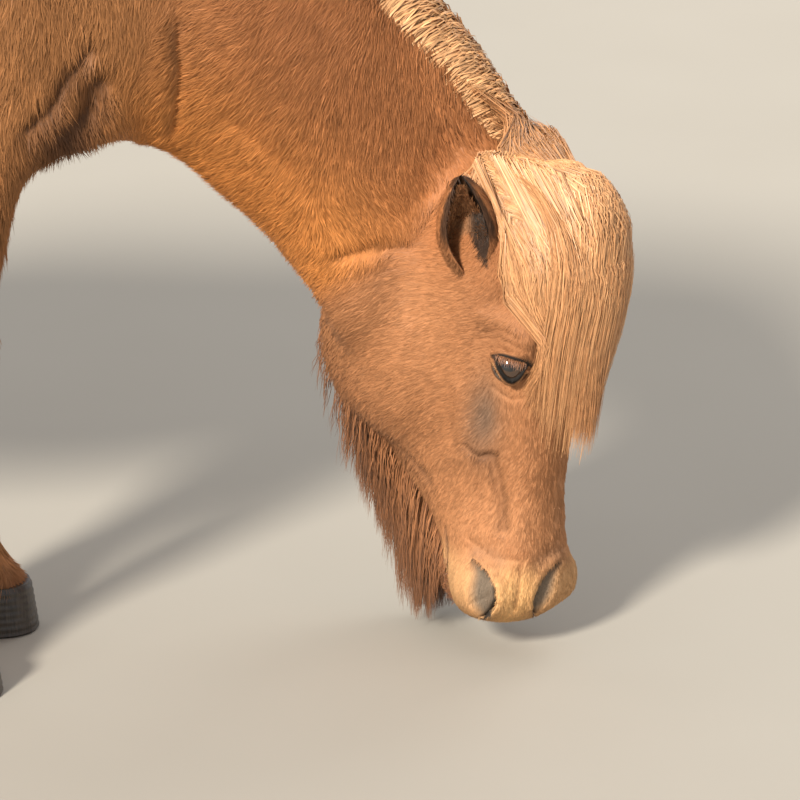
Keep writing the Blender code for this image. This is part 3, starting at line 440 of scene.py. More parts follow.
def fromLine(flat, line):  # distance of places from a line of places
    away = np.full(len(flat), np.inf)
    for a, b in zip(np.array(line[:-1], float), np.array(line[1:], float)):
        share = np.clip(((flat - a) @ (b - a)) / ((b - a) @ (b - a)), 0, 1)
        away = np.minimum(away, np.linalg.norm(flat - a - share[:, None] * (b - a), axis=1))
    return away


def within(flat, outline):  # an odd number of the outline's edges lie beyond a place inside it
    odd = np.zeros(len(flat), bool)
    corners = np.array(outline)
    for (a, b), (c, d) in zip(corners, np.roll(corners, -1, axis=0)):
        crosses = (b > flat[:, 1]) != (d > flat[:, 1])
        odd ^= crosses & (flat[:, 0] < (c - a) * (flat[:, 1] - b) / ((d - b) or 1e-9) + a)
    return odd


# Depth of the nostril, 0 to 1: steep behind its front line and fading to its back line.
def nostrilDepth(points):
    down, round_, side = muzzlePlace(points)
    flat = np.stack([down, round_], 1)
    inside = within(flat, nostril["front"] + nostril["back"]) & (headShare(points) > 0.5)
    return inside * ease(fromLine(flat, nostril["front"]) / nostril["steep"]) \
        * ease(fromLine(flat, nostril["back"]) / nostril["fade"])


mouthLine = ((0.345, -0.090), (0.365, -0.084), (0.392, -0.078), (0.415, -0.066), (0.430, -0.050))
creases = (  # on the head: places down and out, depth, width
    (((0.255, -0.048), (0.290, -0.036), (0.323, -0.026)), 0.0030, 0.0050),
    (((0.262, -0.222), (0.288, -0.172), (0.305, -0.124)), 0.0050, 0.0065),
    (((0.248, -0.072), (0.256, -0.058), (0.252, -0.046)), 0.0022, 0.0030),
    (((0.128, -0.060), (0.120, -0.040), (0.122, -0.020)), 0.0012, 0.0022),
    (((0.136, -0.066), (0.128, -0.044), (0.130, -0.020)), 0.0010, 0.0020),
    (((0.182, -0.050), (0.190, -0.034), (0.184, -0.018)), 0.0008, 0.0022),
    (((0.340, -0.060), (0.352, -0.030), (0.350, -0.010)), 0.0012, 0.0030),
)
ridges = (
    (((0.190, -0.086), (0.225, -0.082), (0.262, -0.078)), 0.0028, 0.0080),
    (((0.190, -0.022), (0.250, -0.020), (0.320, -0.014)), 0.0016, 0.0070),
    (((0.112, -0.064), (0.112, -0.036), (0.120, -0.012)), 0.0022, 0.0070),
    (((0.270, -0.085), (0.310, -0.070), (0.340, -0.066)), 0.0025, 0.0120),
)
folds = (  # on the body: places x from the breast and z, depth, width
    (((0.186, 0.392), (0.215, 0.404), (0.250, 0.402)), 0.0050, 0.0060),
    (((-0.036, 0.628), (-0.054, 0.606), (-0.076, 0.570), (-0.094, 0.556)), 0.0065, 0.0065),
    (((-0.030, 0.592), (-0.038, 0.566), (-0.060, 0.540)), 0.0130, 0.0130),
    (((0.046, 0.640), (0.048, 0.590), (0.040, 0.535)), 0.0045, 0.0060),
    (((0.088, 0.545), (0.140, 0.490), (0.186, 0.415)), 0.0022, 0.0090),
)


def sculptSkin(points, normals):
    down, out, left = headPlace(points)
    flat = np.stack([down, out], 1)
    onHead = headShare(points)
    sides = ease((np.abs((normals @ faceLeft)) - 0.15) / 0.35) * onHead
    push = np.zeros(len(points))
    for line, depth, width in creases:
        push -= depth * nearLine(flat, line, width) * sides
    for line, depth, width in ridges:
        push += depth * nearLine(flat, line, width) * sides
    push -= 0.0030 * nearSpot(flat, (0.215, -0.056), (0.036, 0.010)) * sides
    push -= 0.0040 * nearSpot(flat, (0.100, -0.046), (0.018, 0.014)) * sides
    mouth = nearLine(flat, mouthLine, 0.0021)
    lips = nearLine(flat, mouthLine, 0.0095) - 1.5 * nearLine(flat, mouthLine, 0.0045)
    atMouth = onHead * ease((down - 0.33) / 0.02)
    push += (0.0016 * lips - 0.0042 * mouth) * atMouth * np.maximum(sides, ease((down - 0.415) / 0.01))
    atDown, round_, side = muzzlePlace(points)
    around = np.stack([atDown, round_], 1)
    muzzle = ease((down - 0.31) / 0.02) * (onHead > 0.5)
    push += (0.0015 - 0.0015 * side) * nearSpot(around, (0.388, 0.0580), (0.024, 0.015)) * muzzle
    push -= 0.0022 * nearLine(around, ((0.350, 0.052), (0.347, 0.034), (0.350, 0.020)), 0.010) * muzzle
    push += 0.0012 * nearLine(around, [(d - 0.004, r - 0.003) for d, r in nostril["front"][:6]], 0.004) * muzzle
    push -= 0.0014 * nearLine(around, ((0.352, 0.000), (0.400, 0.000)), 0.0035) * muzzle
    deep = nostrilDepth(points)
    flatBody = np.stack([points[:, 0] - pony["breastX"], points[:, 2]], 1)
    flank = ease((np.abs(normals[:, 1]) - 0.10) / 0.30) * (1 - onHead * 0.6)
    for line, depth, width in folds:
        push -= depth * nearLine(flatBody, line, width) * flank
        push += 0.4 * depth * (nearLine(flatBody, line, width * 2.6) - nearLine(flatBody, line, width * 1.6)) * flank
    points = points + normals * push[:, None]
    angle = side * round_ / nostril["round"] - nostril["turn"]
    radial = np.cos(angle)[:, None] * faceOut + np.sin(angle)[:, None] * faceLeft
    tangent = (np.cos(angle)[:, None] * faceLeft - np.sin(angle)[:, None] * faceOut) * side[:, None]
    inward = unit(-radial * 0.80 - tangent * 0.50 - faceDown * 0.35)
    points = points + inward * (deep * nostril["deep"])[:, None]
    for s in (-1, 1):
        points = sculptEye(points, s)
    return points


ear = {
    "place": (0.066, -0.090, 0.052), "length": 0.108, "half": 0.030, "wall": 0.0036, "sink": 0.014,
    "lean": {-1: (0.00, 0.36), 1: (0.25, 0.30)},
    "rows": ((0.00, 0.62, 24), (0.18, 0.86, 34), (0.40, 1.00, 46), (0.62, 0.88, 52),
             (0.82, 0.58, 56), (0.95, 0.26, 58), (1.00, 0.05, 60)),
    # share of the length, share of the half width, half the opening in degrees
}


def earAxes(side):
    base = headPoint(ear["place"][0], ear["place"][1], side * ear["place"][2])
    back, splay = ear["lean"][side]
    up = unit(-faceDown - faceOut * back + faceLeft * side * splay)
    outward = faceLeft * side * 0.80 + faceOut * 0.62
    outward = unit(outward - (outward @ up) * up)
    return base, up, outward, unit(np.cross(up, outward))


# A leaf rolled to a cup: an outer arc and an inner one at each share of its length.
def earForm(side, arc=22):
    base, up, outward, across = earAxes(side)
    share, wide, opening = alongRows(ear["rows"], np.linspace(0, 1, 34)).T
    half = np.maximum(ear["half"] * wide, 0.0012)
    wall = np.minimum(ear["wall"], half * 0.5) * (1 - 0.35 * share)
    middle = (base + (share * ear["length"] - ear["sink"])[:, None] * up
              + (0.006 * np.sin(np.pi * share))[:, None] * outward)
    k = np.arange(arc) / (arc - 1)
    gap = np.radians(opening)[:, None]
    angle = gap + (2 * np.pi - 2 * gap) * k
    curl = 1 - 0.10 * np.abs(2 * k - 1) ** 6  # the rims turn in a little
    direction = np.cos(angle)[..., None] * outward * 0.80 + np.sin(angle)[..., None] * across
    outer = middle[:, None] + direction * (half[:, None] * curl)[..., None]
    thick = wall[:, None] * (1 - 0.55 * np.abs(2 * k - 1) ** 4)
    inner = middle[:, None] + direction * (half[:, None] * curl - thick)[..., None]
    return tube(np.concatenate([outer, inner[:, ::-1]], 1))


def faceOutward(mesh):
    work = bmesh.new()
    work.from_mesh(mesh)
    bmesh.ops.triangulate(work, faces=work.faces)
    bmesh.ops.recalc_face_normals(work, faces=work.faces)
    work.to_mesh(mesh)
    work.free()
    return mesh


def keepLargest(mesh):
    points, tris, _ = meshArrays(mesh)
    label = np.arange(len(points))
    edges = edgeArray(mesh)
    while True:  # every point takes the lowest label beside it
        low = label.copy()
        np.minimum.at(low, edges[:, 0], label[edges[:, 1]])
        np.minimum.at(low, edges[:, 1], label[edges[:, 0]])
        low = low[low]
        if (low == label).all():
            break
        label = low
    biggest = np.bincount(label).argmax()
    if (label != biggest).any():
        work = bmesh.new()
        work.from_mesh(mesh)
        work.verts.ensure_lookup_table()
        scraps = [work.verts[k] for k in np.flatnonzero(label != biggest)]
        bmesh.ops.delete(work, geom=scraps, context="VERTS")
        work.to_mesh(mesh)
        work.free()


def makeSkin():
    parts = bodyForms()
    offsets = np.cumsum([0] + [len(p) for p, _ in parts])
    points = np.vstack([p for p, _ in parts])
    faces = np.vstack([f + shift for (_, f), shift in zip(parts, offsets)])
    skin = makePiece("skin", faceOutward(makeMesh("skin", points, faces)))
    whole = skin.modifiers.new("oneSkin", "REMESH")
    whole.mode = "VOXEL"
    whole.voxel_size = pony["voxel"]
    mesh = applied(skin)
    points = meshArrays(mesh)[0]
    trunk = ease((points[:, 2] - 0.44) / 0.08) * ease((0.60 - points[:, 0]) / 0.06)
    edges = edgeArray(mesh)
    points = relax(points, edges, np.full(len(points), 0.5), 6)
    points = relax(points, edges, trunk * 0.5, 45)
    movePoints(mesh, points)
    print("skin remeshed", len(mesh.polygons))
    points, _, normals = meshArrays(mesh)
    movePoints(mesh, points - normals * coatDepth(points)[:, None])
    eyes = [headPoint(eye["place"][0], eye["place"][1], s * eye["place"][2]) for s in (-1, 1)]

    def nearEyes(p, reach):
        return np.minimum(*[np.linalg.norm(p - e, axis=1) for e in eyes]) < reach

    def nearNose(p, reach):
        down, round_, _ = muzzlePlace(p)
        rim = nostril["front"] + nostril["back"][:-1] + nostril["front"][:1]
        return (fromLine(np.stack([down, round_], 1), rim) < reach) & (headShare(p) > 0.5)

    def fine(p):
        down, out, left = headPlace(p)
        flat = np.stack([down, out], 1)
        mouth = (nearLine(flat, mouthLine, 0.008) > 0.4) & (down > 0.33)
        lined = np.max([nearLine(flat, line, 2.2 * width) for line, _, width in creases], axis=0) > 0.4
        return nearEyes(p, 0.034) | nearNose(p, 0.018) | mouth | (lined & (left < 0) & (headShare(p) > 0.8))

    def chest(p):
        x = p[:, 0] - pony["breastX"]
        return (x > -0.13) & (x < 0.07) & (p[:, 2] > 0.49) & (p[:, 2] < 0.67) & (p[:, 1] < 0)

    def slits(p, reach):
        found = np.zeros(len(p), bool)
        for side in (-1, 1):
            centre, outward, along, over = eyeAxes(side)
            toward = unit(p - centre)
            past = pastSlit(toward @ along, toward @ over)
            found |= (np.abs(past - 0.05) < reach) & (toward @ outward > 0) & nearEyes(p, 0.030)
        return found

    refine(mesh, lambda p: headShare(p) > 0.5)
    points, _, normals = meshArrays(mesh)
    movePoints(mesh, relax(points, edgeArray(mesh), headShare(points) * 0.5, 2))
    refine(mesh, fine)
    refine(mesh, chest)
    refine(mesh, lambda p: nearEyes(p, 0.026) | nearNose(p, 0.007))
    refine(mesh, lambda p: slits(p, 0.13) | nearNose(p, 0.0022))
    points, _, normals = meshArrays(mesh)
    movePoints(mesh, relax(points, edgeArray(mesh), fine(points) * 0.4, 3))
    points, _, normals = meshArrays(mesh)
    movePoints(mesh, sculptSkin(points, normals))
    print("skin sculpted", len(meshArrays(mesh)[1]))
    holder = bpy.data.collections.new("ears")
    for side in (-1, 1):
        form = bpy.data.objects.new("earForm", faceOutward(makeMesh("earForm", *earForm(side))))
        holder.objects.link(form)
    bpy.context.scene.collection.children.link(holder)
    faceOutward(mesh)
    join = skin.modifiers.new("withEars", "BOOLEAN")
    join.operation, join.operand_type, join.collection, join.solver = "UNION", "COLLECTION", holder, "MANIFOLD"
    mesh = applied(skin)
    for form in list(holder.objects):
        bpy.data.objects.remove(form, do_unlink=True)
    bpy.data.collections.remove(holder)
    faceOutward(mesh)
    keepLargest(mesh)
    mesh.shade_smooth()
    skin.data = mesh
    print("skin with ears", len(meshArrays(mesh)[1]))
    return skin


skin = makeSkin()
skinPoints, skinTris, skinNormals = meshArrays(skin.data)


# Unwrap: each region of the skin is rolled off its own axis. A point's u is its angle round the
# axis and its v the distance along it, both scaled into the region's own rectangle.
def regionAxes():
    x0 = pony["breastX"]
    regions = [
        ("torso", (x0 - 0.5, 0, 0.66), (-1.0, 0, 0), (0, 0, 1), (-0.52, 0.56), (0.01, 0.52, 0.01, 0.60)),
        ("neck", (x0 + 0.05, 0.03, 0.66), (0.62, 0, -0.78), (0.78, 0, 0.62), (-0.30, 0.36), (0.54, 0.99, 0.01, 0.31)),
        ("head", poll + faceOut * -0.12, faceDown, faceOut, (-0.06, 0.45), (0.54, 0.99, 0.33, 0.64)),
    ]
    for n, (key, side) in enumerate((k, s) for k in ("foreleg", "hindleg") for s in (-1, 1)):
        row = pony[key][5]
        low = (0.01 + 0.125 * n, 0.12 + 0.125 * n, 0.62, 0.99)
        regions.append((key, (x0 + row[1], side * row[4], 0.0), (0, 0, 1), (1, 0, 0), (0.0, 0.56), low))
    for n, (side, shell) in enumerate((s, i) for s in (-1, 1) for i in (0, 1)):
        base, up, outward, _ = earAxes(side)
        low = (0.54 + 0.112 * n, 0.64 + 0.112 * n, 0.67, 0.99)
        regions.append(("ear", base, up, outward, (-0.02, 0.12), low))
    return regions


def unwrap(points, tris, normals):
    middle = points[tris].mean(1)
    normal = unit(np.cross(points[tris[:, 1]] - points[tris[:, 0]], points[tris[:, 2]] - points[tris[:, 0]]))
    x = middle[:, 0] - pony["breastX"]
    region = np.where(headShare(middle) > 0.5, 2, np.where(x > 0.0, 1, 0))
    legs = (middle[:, 2] < 0.47) & (x < 0) & (np.abs(x + 0.18) < 0.10)
    region[legs] = 3 + (middle[legs, 1] > 0)
    legs = (middle[:, 2] < 0.50) & (np.abs(x + 0.85) < 0.13)
    region[legs] = 5 + (middle[legs, 1] > 0)
    for n, side in enumerate((-1, 1)):
        base, up, outward, across = earAxes(side)
        away = middle - base
        high = away @ up
        round_ = np.hypot(away @ outward, away @ across)
        isEar = (high > 0.004) & (high < 0.11) & (round_ < 0.040)
        isEar &= np.abs((middle - poll) @ faceLeft - side * 0.05) < 0.06
        radial = away - high[:, None] * up
        outside = (normal * unit(radial)).sum(1) > 0
        region[isEar] = 7 + 2 * n + (~outside[isEar])
    uv = np.empty((len(tris), 3, 2))
    for n, (_, base, axis, start, (low, high), (u0, u1, v0, v1)) in enumerate(regionAxes()):
        mine = region == n
        axis, start = unit(np.array(axis, float)), unit(np.array(start, float))
        away = points[tris[mine]] - np.array(base, float)
        side = np.cross(axis, start)
        angle = np.arctan2(away @ side, away @ start) / (2 * np.pi)  # cut on the side away from start
        angle = angle - np.round(angle - angle[:, :1])
        uv[mine, :, 0] = u0 + (u1 - u0) * (0.5 + 0.94 * angle)
        uv[mine, :, 1] = v0 + (v1 - v0) * np.clip((away @ axis - low) / (high - low), 0, 1)
    return uv


skinUV = unwrap(skinPoints, skinTris, skinNormals)


def addUV(mesh, uv):  # uv of every face corner
    layer = mesh.uv_layers.new(name="OFBake")
    layer.data.foreach_set("uv", np.asarray(uv, np.float32).ravel())


addUV(skin.data, skinUV)

# Colours by place, linear. Masks blend them one over the other. Some are laid as painted shade: the grey in a hollow
# and a groove of the face, the fold colour in creases of the face and body and in the hollow before the foreleg, the
# near-black dark in the nostrils, the mouth and the ear's hollow, and the jaw brown in the muzzle's middle groove.
# The dark is also the real colour of the ears' rims and tips and of the eyelids, and the jaw brown is also the darker
# hair on the jaw, brow, beard and lashes.
colours = {
    "ginger": (0.400, 0.155, 0.056), "shoulder": (0.330, 0.145, 0.052),
    "throat": (0.690, 0.262, 0.066), "cheek": (0.440, 0.196, 0.084),
    "nose": (0.470, 0.215, 0.095), "lip": (0.600, 0.330, 0.150), "greyShade": (0.225, 0.135, 0.085),
    "inside": (0.230, 0.175, 0.125), "dark": (0.012, 0.009, 0.007), "jaw": (0.265, 0.108, 0.044),
    "belly": (0.360, 0.190, 0.090), "shank": (0.330, 0.145, 0.050), "shadedFold": (0.100, 0.042, 0.018),
    "mane": (0.520, 0.245, 0.100), "flax": (0.700, 0.400, 0.190), "brown": (0.150, 0.062, 0.026),
    "lining": (0.330, 0.155, 0.070), "tip": (0.860, 0.500, 0.210),
}


def coatColour(points, normals):
    down, out, left = headPlace(points)
    flat = np.stack([down, out], 1)
    onHead = headShare(points)
    x, z = points[:, 0] - pony["breastX"], points[:, 2]
    body = np.stack([x, z], 1)
    colour = np.tile(np.array(colours["ginger"]), (len(points), 1))

    def over(name, share):
        nonlocal colour
        share = np.clip(share, 0, 1)[:, None]
        colour = colour * (1 - share) + np.array(colours[name]) * share

    over("shoulder", (1 - ease((x + 0.02) / 0.14)) * 0.9)
    over("belly", (1 - ease((z - 0.40) / 0.10)) * (x > -0.75) * (z > 0.36) * 0.6 * ease(-normals[:, 2]))
    over("shank", (1 - ease((z - 0.16) / 0.22)) * (x < 0.02) * 0.8)
    over("throat", nearLine(body, ((0.05, 0.52), (0.12, 0.45), (0.19, 0.36)), 0.075) * (1 - onHead) * 0.9)
    over("cheek", onHead * ease((down - 0.02) / 0.10))
    behind = -out - 0.175 + 0.40 * (down - 0.20)
    over("jaw", onHead * ease(behind / 0.060) * ease((down - 0.16) / 0.08) * 0.40)
    over("nose", onHead * ease((down - 0.27) / 0.06) * ease((out + 0.10) / 0.05))
    over("lip", onHead * ease((down - 0.345) / 0.035) * ease((out + 0.13) / 0.03))
    over("tip", onHead * ease((down - 0.345) / 0.04) * (1 - ease((muzzlePlace(points)[1] - 0.006) / 0.020)) * 0.8)
    over("jaw", onHead * (1 - ease((down - 0.12) / 0.06)) * ease((out + 0.11) / 0.05) * 0.35)
    sides = ease((np.abs(normals @ faceLeft) - 0.10) / 0.30) * onHead
    # Painted shade in the hollow below the eye, over the sculpted hollow there.
    over("greyShade", 1.0 * nearSpot(flat, (0.214, -0.057), (0.040, 0.015)) * sides)
    # Painted shade in the face's creases: down the side of the nose, low on the cheek, at the end of the facial
    # crest, and above the eye.
    over("shadedFold", 0.50 * nearLine(flat, creases[0][0], 0.0045) * sides)
    over("shadedFold", 0.80 * nearLine(flat, creases[1][0], 0.007) * sides)
    over("shadedFold", 0.60 * nearLine(flat, creases[2][0], 0.004) * sides)
    over("shadedFold", 0.18 * nearSpot(flat, (0.126, -0.045), (0.010, 0.024)) * sides)
    # Painted shade in the creases of the throat, the chest and the base of the neck.
    for n, (line, depth, width) in enumerate(folds[:4]):
        over("shadedFold", (0.35, 0.8, 0.8, 0.3)[n] * nearLine(body, line, width * 1.2)
             * ease((np.abs(normals[:, 1]) - 0.05) / 0.2) * (1 - onHead * 0.5))
    # Painted shade in the hollow between the foreleg and the breast.
    gap = nearSpot(body, (-0.060, 0.538), (0.030, 0.026)) * ease((np.abs(normals[:, 1]) - 0.05) / 0.3)
    over("shadedFold", 0.85 * gap * (1 - onHead))
    atDown, round_, turned = muzzlePlace(points)
    around = np.stack([atDown, round_], 1)
    hollow = nostrilDepth(points)
    opening = within(around, nostril["front"] + nostril["back"]) * (onHead > 0.5)
    over("inside", opening * ease(fromLine(around, nostril["back"]) / 0.012))
    # Painted shade just inside the nostril's front rim and under its upper hook, in the near-black colour.
    edge = [(d, r + 0.0020) for d, r in nostril["front"]]
    over("dark", 0.90 * nearLine(around, edge, 0.0030) * opening)
    over("dark", 0.60 * nearLine(around, nostril["front"][:3], 0.0070) * opening)
    # Painted shade in the groove just above the nostril's front edge, over the sculpted groove.
    over("greyShade", 0.30 * nearLine(around, ((0.352, 0.052), (0.348, 0.034), (0.352, 0.020)), 0.007)
         * (onHead > 0.5) * (down > 0.3))
    # Painted shade in the groove down the middle of the muzzle, in the jaw brown.
    over("jaw", 0.45 * nearLine(around, ((0.352, 0.000), (0.395, 0.000)), 0.0022) * (onHead > 0.5) * (down > 0.34))
    # Painted shade in the slit between the lips, in the near-black colour.
    over("dark", 0.85 * nearLine(flat, mouthLine, 0.0030) * onHead * (down > 0.34))
    for side in (-1, 1):
        centre, outward, along, overAxis = eyeAxes(side)
        away = points - centre
        reach = np.linalg.norm(away, axis=1)
        toward = away / np.maximum(reach, 1e-6)[:, None]
        past = pastSlit(toward @ along, toward @ overAxis)
        near = (toward @ outward > 0.1) & (reach < 0.036)
        below = ease((0.15 - toward @ overAxis) / 0.3)
        over("lip", near * 0.7 * below * np.exp(-((past - 0.46) / 0.09) ** 2))
        over("dark", near * (1 - ease((past - 0.10 - 0.14 * below) / 0.13)))
        base, up, outward, across = earAxes(side)
        away = points - base
        high, a, c = away @ up, away @ outward, away @ across
        isEar = (high > -0.004) & (np.hypot(a, c) < 0.040) & (high < 0.11)
        share = np.clip((high + ear["sink"]) / ear["length"], 0, 1)
        angle = np.abs(np.arctan2(c, a / 0.80))
        rows = np.array(ear["rows"])
        rim = np.interp(share, rows[:, 0], np.radians(rows[:, 2]))
        radial = unit(away - high[:, None] * up)
        inside = isEar & ((normals * radial).sum(1) < 0)
        toFace = np.sign(across @ faceOut) * c
        low = ease((high + 0.016) / 0.022)
        reachIn = (np.hypot(a / 0.80, c) < 0.030) & (high > -0.016) & (high < 0.11)
        over("lining", inside * 1.0)
        # The hollow's dark skin with painted shade over it, on the side of the ear's cup toward the face.
        over("dark", reachIn * ((normals * radial).sum(1) < 0.5) * 0.92 * low * ease((toFace + 0.004) / 0.010)
             * (1 - ease((toFace - 0.022) / 0.006) * (high < 0.01)))
        over("dark", isEar * 0.85 * (1 - ease((angle - rim - 0.02) / 0.14)) * ease((share - 0.35) / 0.2))
        over("dark", isEar * ease((share - 0.90) / 0.08) * 0.8)
    return colour


def addColour(mesh, name, colour):  # a colour of every point
    layer = mesh.color_attributes.new(name=name, type="FLOAT_COLOR", domain="POINT")
    rgba = np.ones((len(colour), 4), np.float32)
    rgba[:, :3] = colour
    layer.data.foreach_set("color", rgba.ravel())


addColour(skin.data, "coatColour", coatColour(skinPoints, skinNormals))


# Materials. Each is a Principled shader with a chain of nodes for colour and bump.
def material(name, roughness, **sockets):
    made = bpy.data.materials.new(name)
    made.use_nodes = True
    shader = made.node_tree.nodes["Principled BSDF"]
    shader.inputs["Roughness"].default_value = roughness
    for key, value in sockets.items():
        shader.inputs[key.replace("_", " ")].default_value = value
    return made, made.node_tree, shader


def node(tree, kind, settings=None, **links):
    made = tree.nodes.new(kind)
    for key, value in (settings or {}).items():
        if hasattr(made, key):
            setattr(made, key, value)
        else:
            made.inputs[key].default_value = value
    for key, source in links.items():
        tree.links.new(source, made.inputs[key.replace("_", " ")])
    return made


def objectPlace(tree):
    return node(tree, "ShaderNodeTexCoord").outputs["Object"]


# Streaks along the coat: one fine noise read at steps along each point's own lie and averaged.
def streaks(tree, scale, step, taps):
    place = objectPlace(tree)
    lie = node(tree, "ShaderNodeAttribute", {"attribute_name": "lie"}).outputs["Vector"]
    total = None
    for k in range(taps):
        shift = node(tree, "ShaderNodeVectorMath", {"operation": "MULTIPLY_ADD"})
        tree.links.new(lie, shift.inputs[0])
        shift.inputs[1].default_value = ((k - (taps - 1) / 2) * step,) * 3
        tree.links.new(place, shift.inputs[2])
        noise = node(tree, "ShaderNodeTexNoise", {"Scale": scale, "Detail": 1.0}, Vector=shift.outputs[0])
        if total is None:
            total = noise.outputs["Fac"]
        else:
            both = node(tree, "ShaderNodeMath", {"operation": "ADD"})
            tree.links.new(total, both.inputs[0])
            tree.links.new(noise.outputs["Fac"], both.inputs[1])
            total = both.outputs[0]
    spread = 0.32 * taps ** 0.5
    return node(tree, "ShaderNodeMapRange", {"From Min": taps / 2 - spread, "From Max": taps / 2 + spread},
                Value=total).outputs[0]


def tinted(tree, attribute, value, low, high):  # the attribute's colour times a value from low to high
    scale = node(tree, "ShaderNodeMapRange", {"To Min": low, "To Max": high}, Value=value)
    base = node(tree, "ShaderNodeAttribute", {"attribute_name": attribute})
    made = node(tree, "ShaderNodeVectorMath", {"operation": "SCALE"})
    tree.links.new(base.outputs["Color"], made.inputs[0])
    tree.links.new(scale.outputs[0], made.inputs["Scale"])
    return made.outputs[0]


def hideMaterial():
    made, tree, shader = material("coatHide", 0.72, Specular_IOR_Level=0.25)
    lines = streaks(tree, 1500.0, 0.0009, 7)
    tree.links.new(tinted(tree, "coatColour", lines, 0.62, 1.30), shader.inputs["Base Color"])
    bump = node(tree, "ShaderNodeBump", {"Strength": 0.55, "Distance": 0.0008}, Height=lines)
    tree.links.new(bump.outputs[0], shader.inputs["Normal"])
    return made


# Hair colour from the attribute, a little lighter and darker by a fine noise.
def hairMaterial(name, scale, spread, roughness, shine):
    made, tree, shader = material(name, roughness, Specular_IOR_Level=shine)
    noise = node(tree, "ShaderNodeTexNoise", {"Scale": scale, "Detail": 2.0}, Vector=objectPlace(tree))
    tree.links.new(tinted(tree, "hairColour", noise.outputs["Fac"], 1 - spread, 1 + spread),
                   shader.inputs["Base Color"])
    return made


skin.data.materials.clear()
skin.data.materials.append(hideMaterial())
tuftMaterial = hairMaterial("coatHair", 60.0, 0.22, 0.60, 0.30)
strandMaterial = hairMaterial("longHair", 90.0, 0.25, 0.45, 0.45)
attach(skin, "root")
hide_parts(*[n for n in frame["nodes"] if not n.startswith(("eye", "hoof"))])
print("skin done")

# The lie of the coat: directions named at a few places and blended by nearness. On the body by x
# from the breast and z; on the head by distance down the face and out of it.
bodyLie = np.array((
    (-0.93, 0.85, -0.75, -0.65), (-0.75, 0.90, -0.98, -0.20), (-0.50, 0.88, -0.98, -0.15),
    (-0.25, 0.90, -0.90, -0.40), (-0.80, 0.66, -0.55, -0.85), (-0.60, 0.62, -0.75, -0.65),
    (-0.40, 0.62, -0.80, -0.60), (-0.45, 0.42, -0.97, -0.25), (-0.62, 0.46, -0.80, -0.10),
    (-0.20, 0.74, -0.40, -0.92), (-0.12, 0.60, -0.20, -0.98), (-0.17, 0.44, -0.10, -0.99),
    (-0.18, 0.20, -0.05, -1.00), (-0.86, 0.48, -0.25, -0.97), (-0.88, 0.20, 0.00, -1.00),
    (-0.02, 0.66, -0.12, -0.99), (-0.05, 0.54, 0.35, -0.93), (0.04, 0.74, -0.80, -0.60),
    (0.07, 0.62, -0.97, -0.22), (0.08, 0.50, -0.85, -0.50), (0.14, 0.60, -0.80, -0.60),
    (0.13, 0.46, -0.70, -0.70), (0.20, 0.44, 0.55, -0.80), (0.22, 0.52, -0.25, -0.97),
    (0.17, 0.37, -0.60, -0.80), (0.28, 0.46, 0.40, -0.90),
))
headLie = np.array((
    (-0.01, -0.08, 0.90, 0.40), (0.03, -0.16, 0.55, -0.80), (0.09, -0.13, 0.25, -0.97),
    (0.10, -0.22, 0.60, -0.80), (0.08, -0.01, 1.00, 0.05), (0.13, -0.07, 0.45, -0.90),
    (0.16, -0.14, 0.48, -0.88), (0.20, -0.24, 0.75, -0.66), (0.21, -0.16, 0.55, -0.83),
    (0.24, -0.10, 0.60, -0.80), (0.20, -0.01, 0.98, -0.15), (0.27, -0.20, 0.90, -0.40),
    (0.28, -0.05, 0.85, -0.50), (0.31, -0.12, 0.85, -0.50), (0.34, -0.02, 0.95, -0.25),
    (0.33, -0.16, 1.00, -0.10), (0.38, -0.05, 0.98, -0.15), (0.41, -0.10, 0.90, 0.20),
))


def blendRows(rows, flat):
    away = ((flat[:, None] - rows[None, :, :2]) ** 2).sum(2)
    weight = 1 / (away + 1e-5) ** 2
    return (weight[..., None] * rows[None, :, 2:]).sum(1) / weight.sum(1)[:, None]


def lieOf(points, normals):
    lie = np.empty_like(points)
    for part in np.array_split(np.arange(len(points)), max(1, len(points) // 20000)):
        p = points[part]
        d = blendRows(bodyLie, np.stack([p[:, 0] - pony["breastX"], p[:, 2]], 1))
        onBody = np.stack([d[:, 0], np.zeros(len(d)), d[:, 1]], 1)
        down, out, left = headPlace(p)
        d = blendRows(headLie, np.stack([down, out], 1))
        onFace = d[:, :1] * faceDown + d[:, 1:] * faceOut
        share = headShare(p)[:, None]
        lie[part] = onBody * (1 - share) + onFace * share
    lie -= (lie * normals).sum(1)[:, None] * normals
    return unit(lie)


def addVectors(mesh, name, vectors):
    layer = mesh.attributes.new(name, "FLOAT_VECTOR", "POINT")
    layer.data.foreach_set("vector", np.asarray(vectors, np.float32).ravel())


addVectors(skin.data, "lie", lieOf(skinPoints, skinNormals))


# Hair length by place.
def hairLength(points):
    down, out, left = headPlace(points)
    onHead = headShare(points)
    x, z = points[:, 0] - pony["breastX"], points[:, 2]
    body = 0.021 - 0.005 * ease((x + 0.05) / 0.20)
    body = body + (0.014 - body) * (1 - ease((z - 0.15) / 0.22))
    body = body + 0.010 * ease((0.50 - z) / 0.06) * (z > 0.36) * (x > -0.80) * (x < -0.02)
    face = 0.0115 - 0.0035 * ease((out + 0.16) / 0.10)
    face = face + (0.0050 - face) * ease((down - 0.30) / 0.06) * ease((out + 0.16) / 0.05)
    face = face + 0.006 * ease((-out - 0.19) / 0.05)
    length = body + (face - body) * onHead
    for side in (-1, 1):
        centre = eyeAxes(side)[0]
        length *= 0.35 + 0.65 * ease((np.linalg.norm(points - centre, axis=1) - 0.020) / 0.022)
        base, up, outward, across = earAxes(side)
        away = points - base
        isEar = (away @ up > 0.006) & (np.hypot(away @ outward, away @ across) < 0.040) & (away @ up < 0.11)
        length = np.where(isEar, 0.0075, length)
    return length * (1 - 0.75 * nostrilDepth(points))


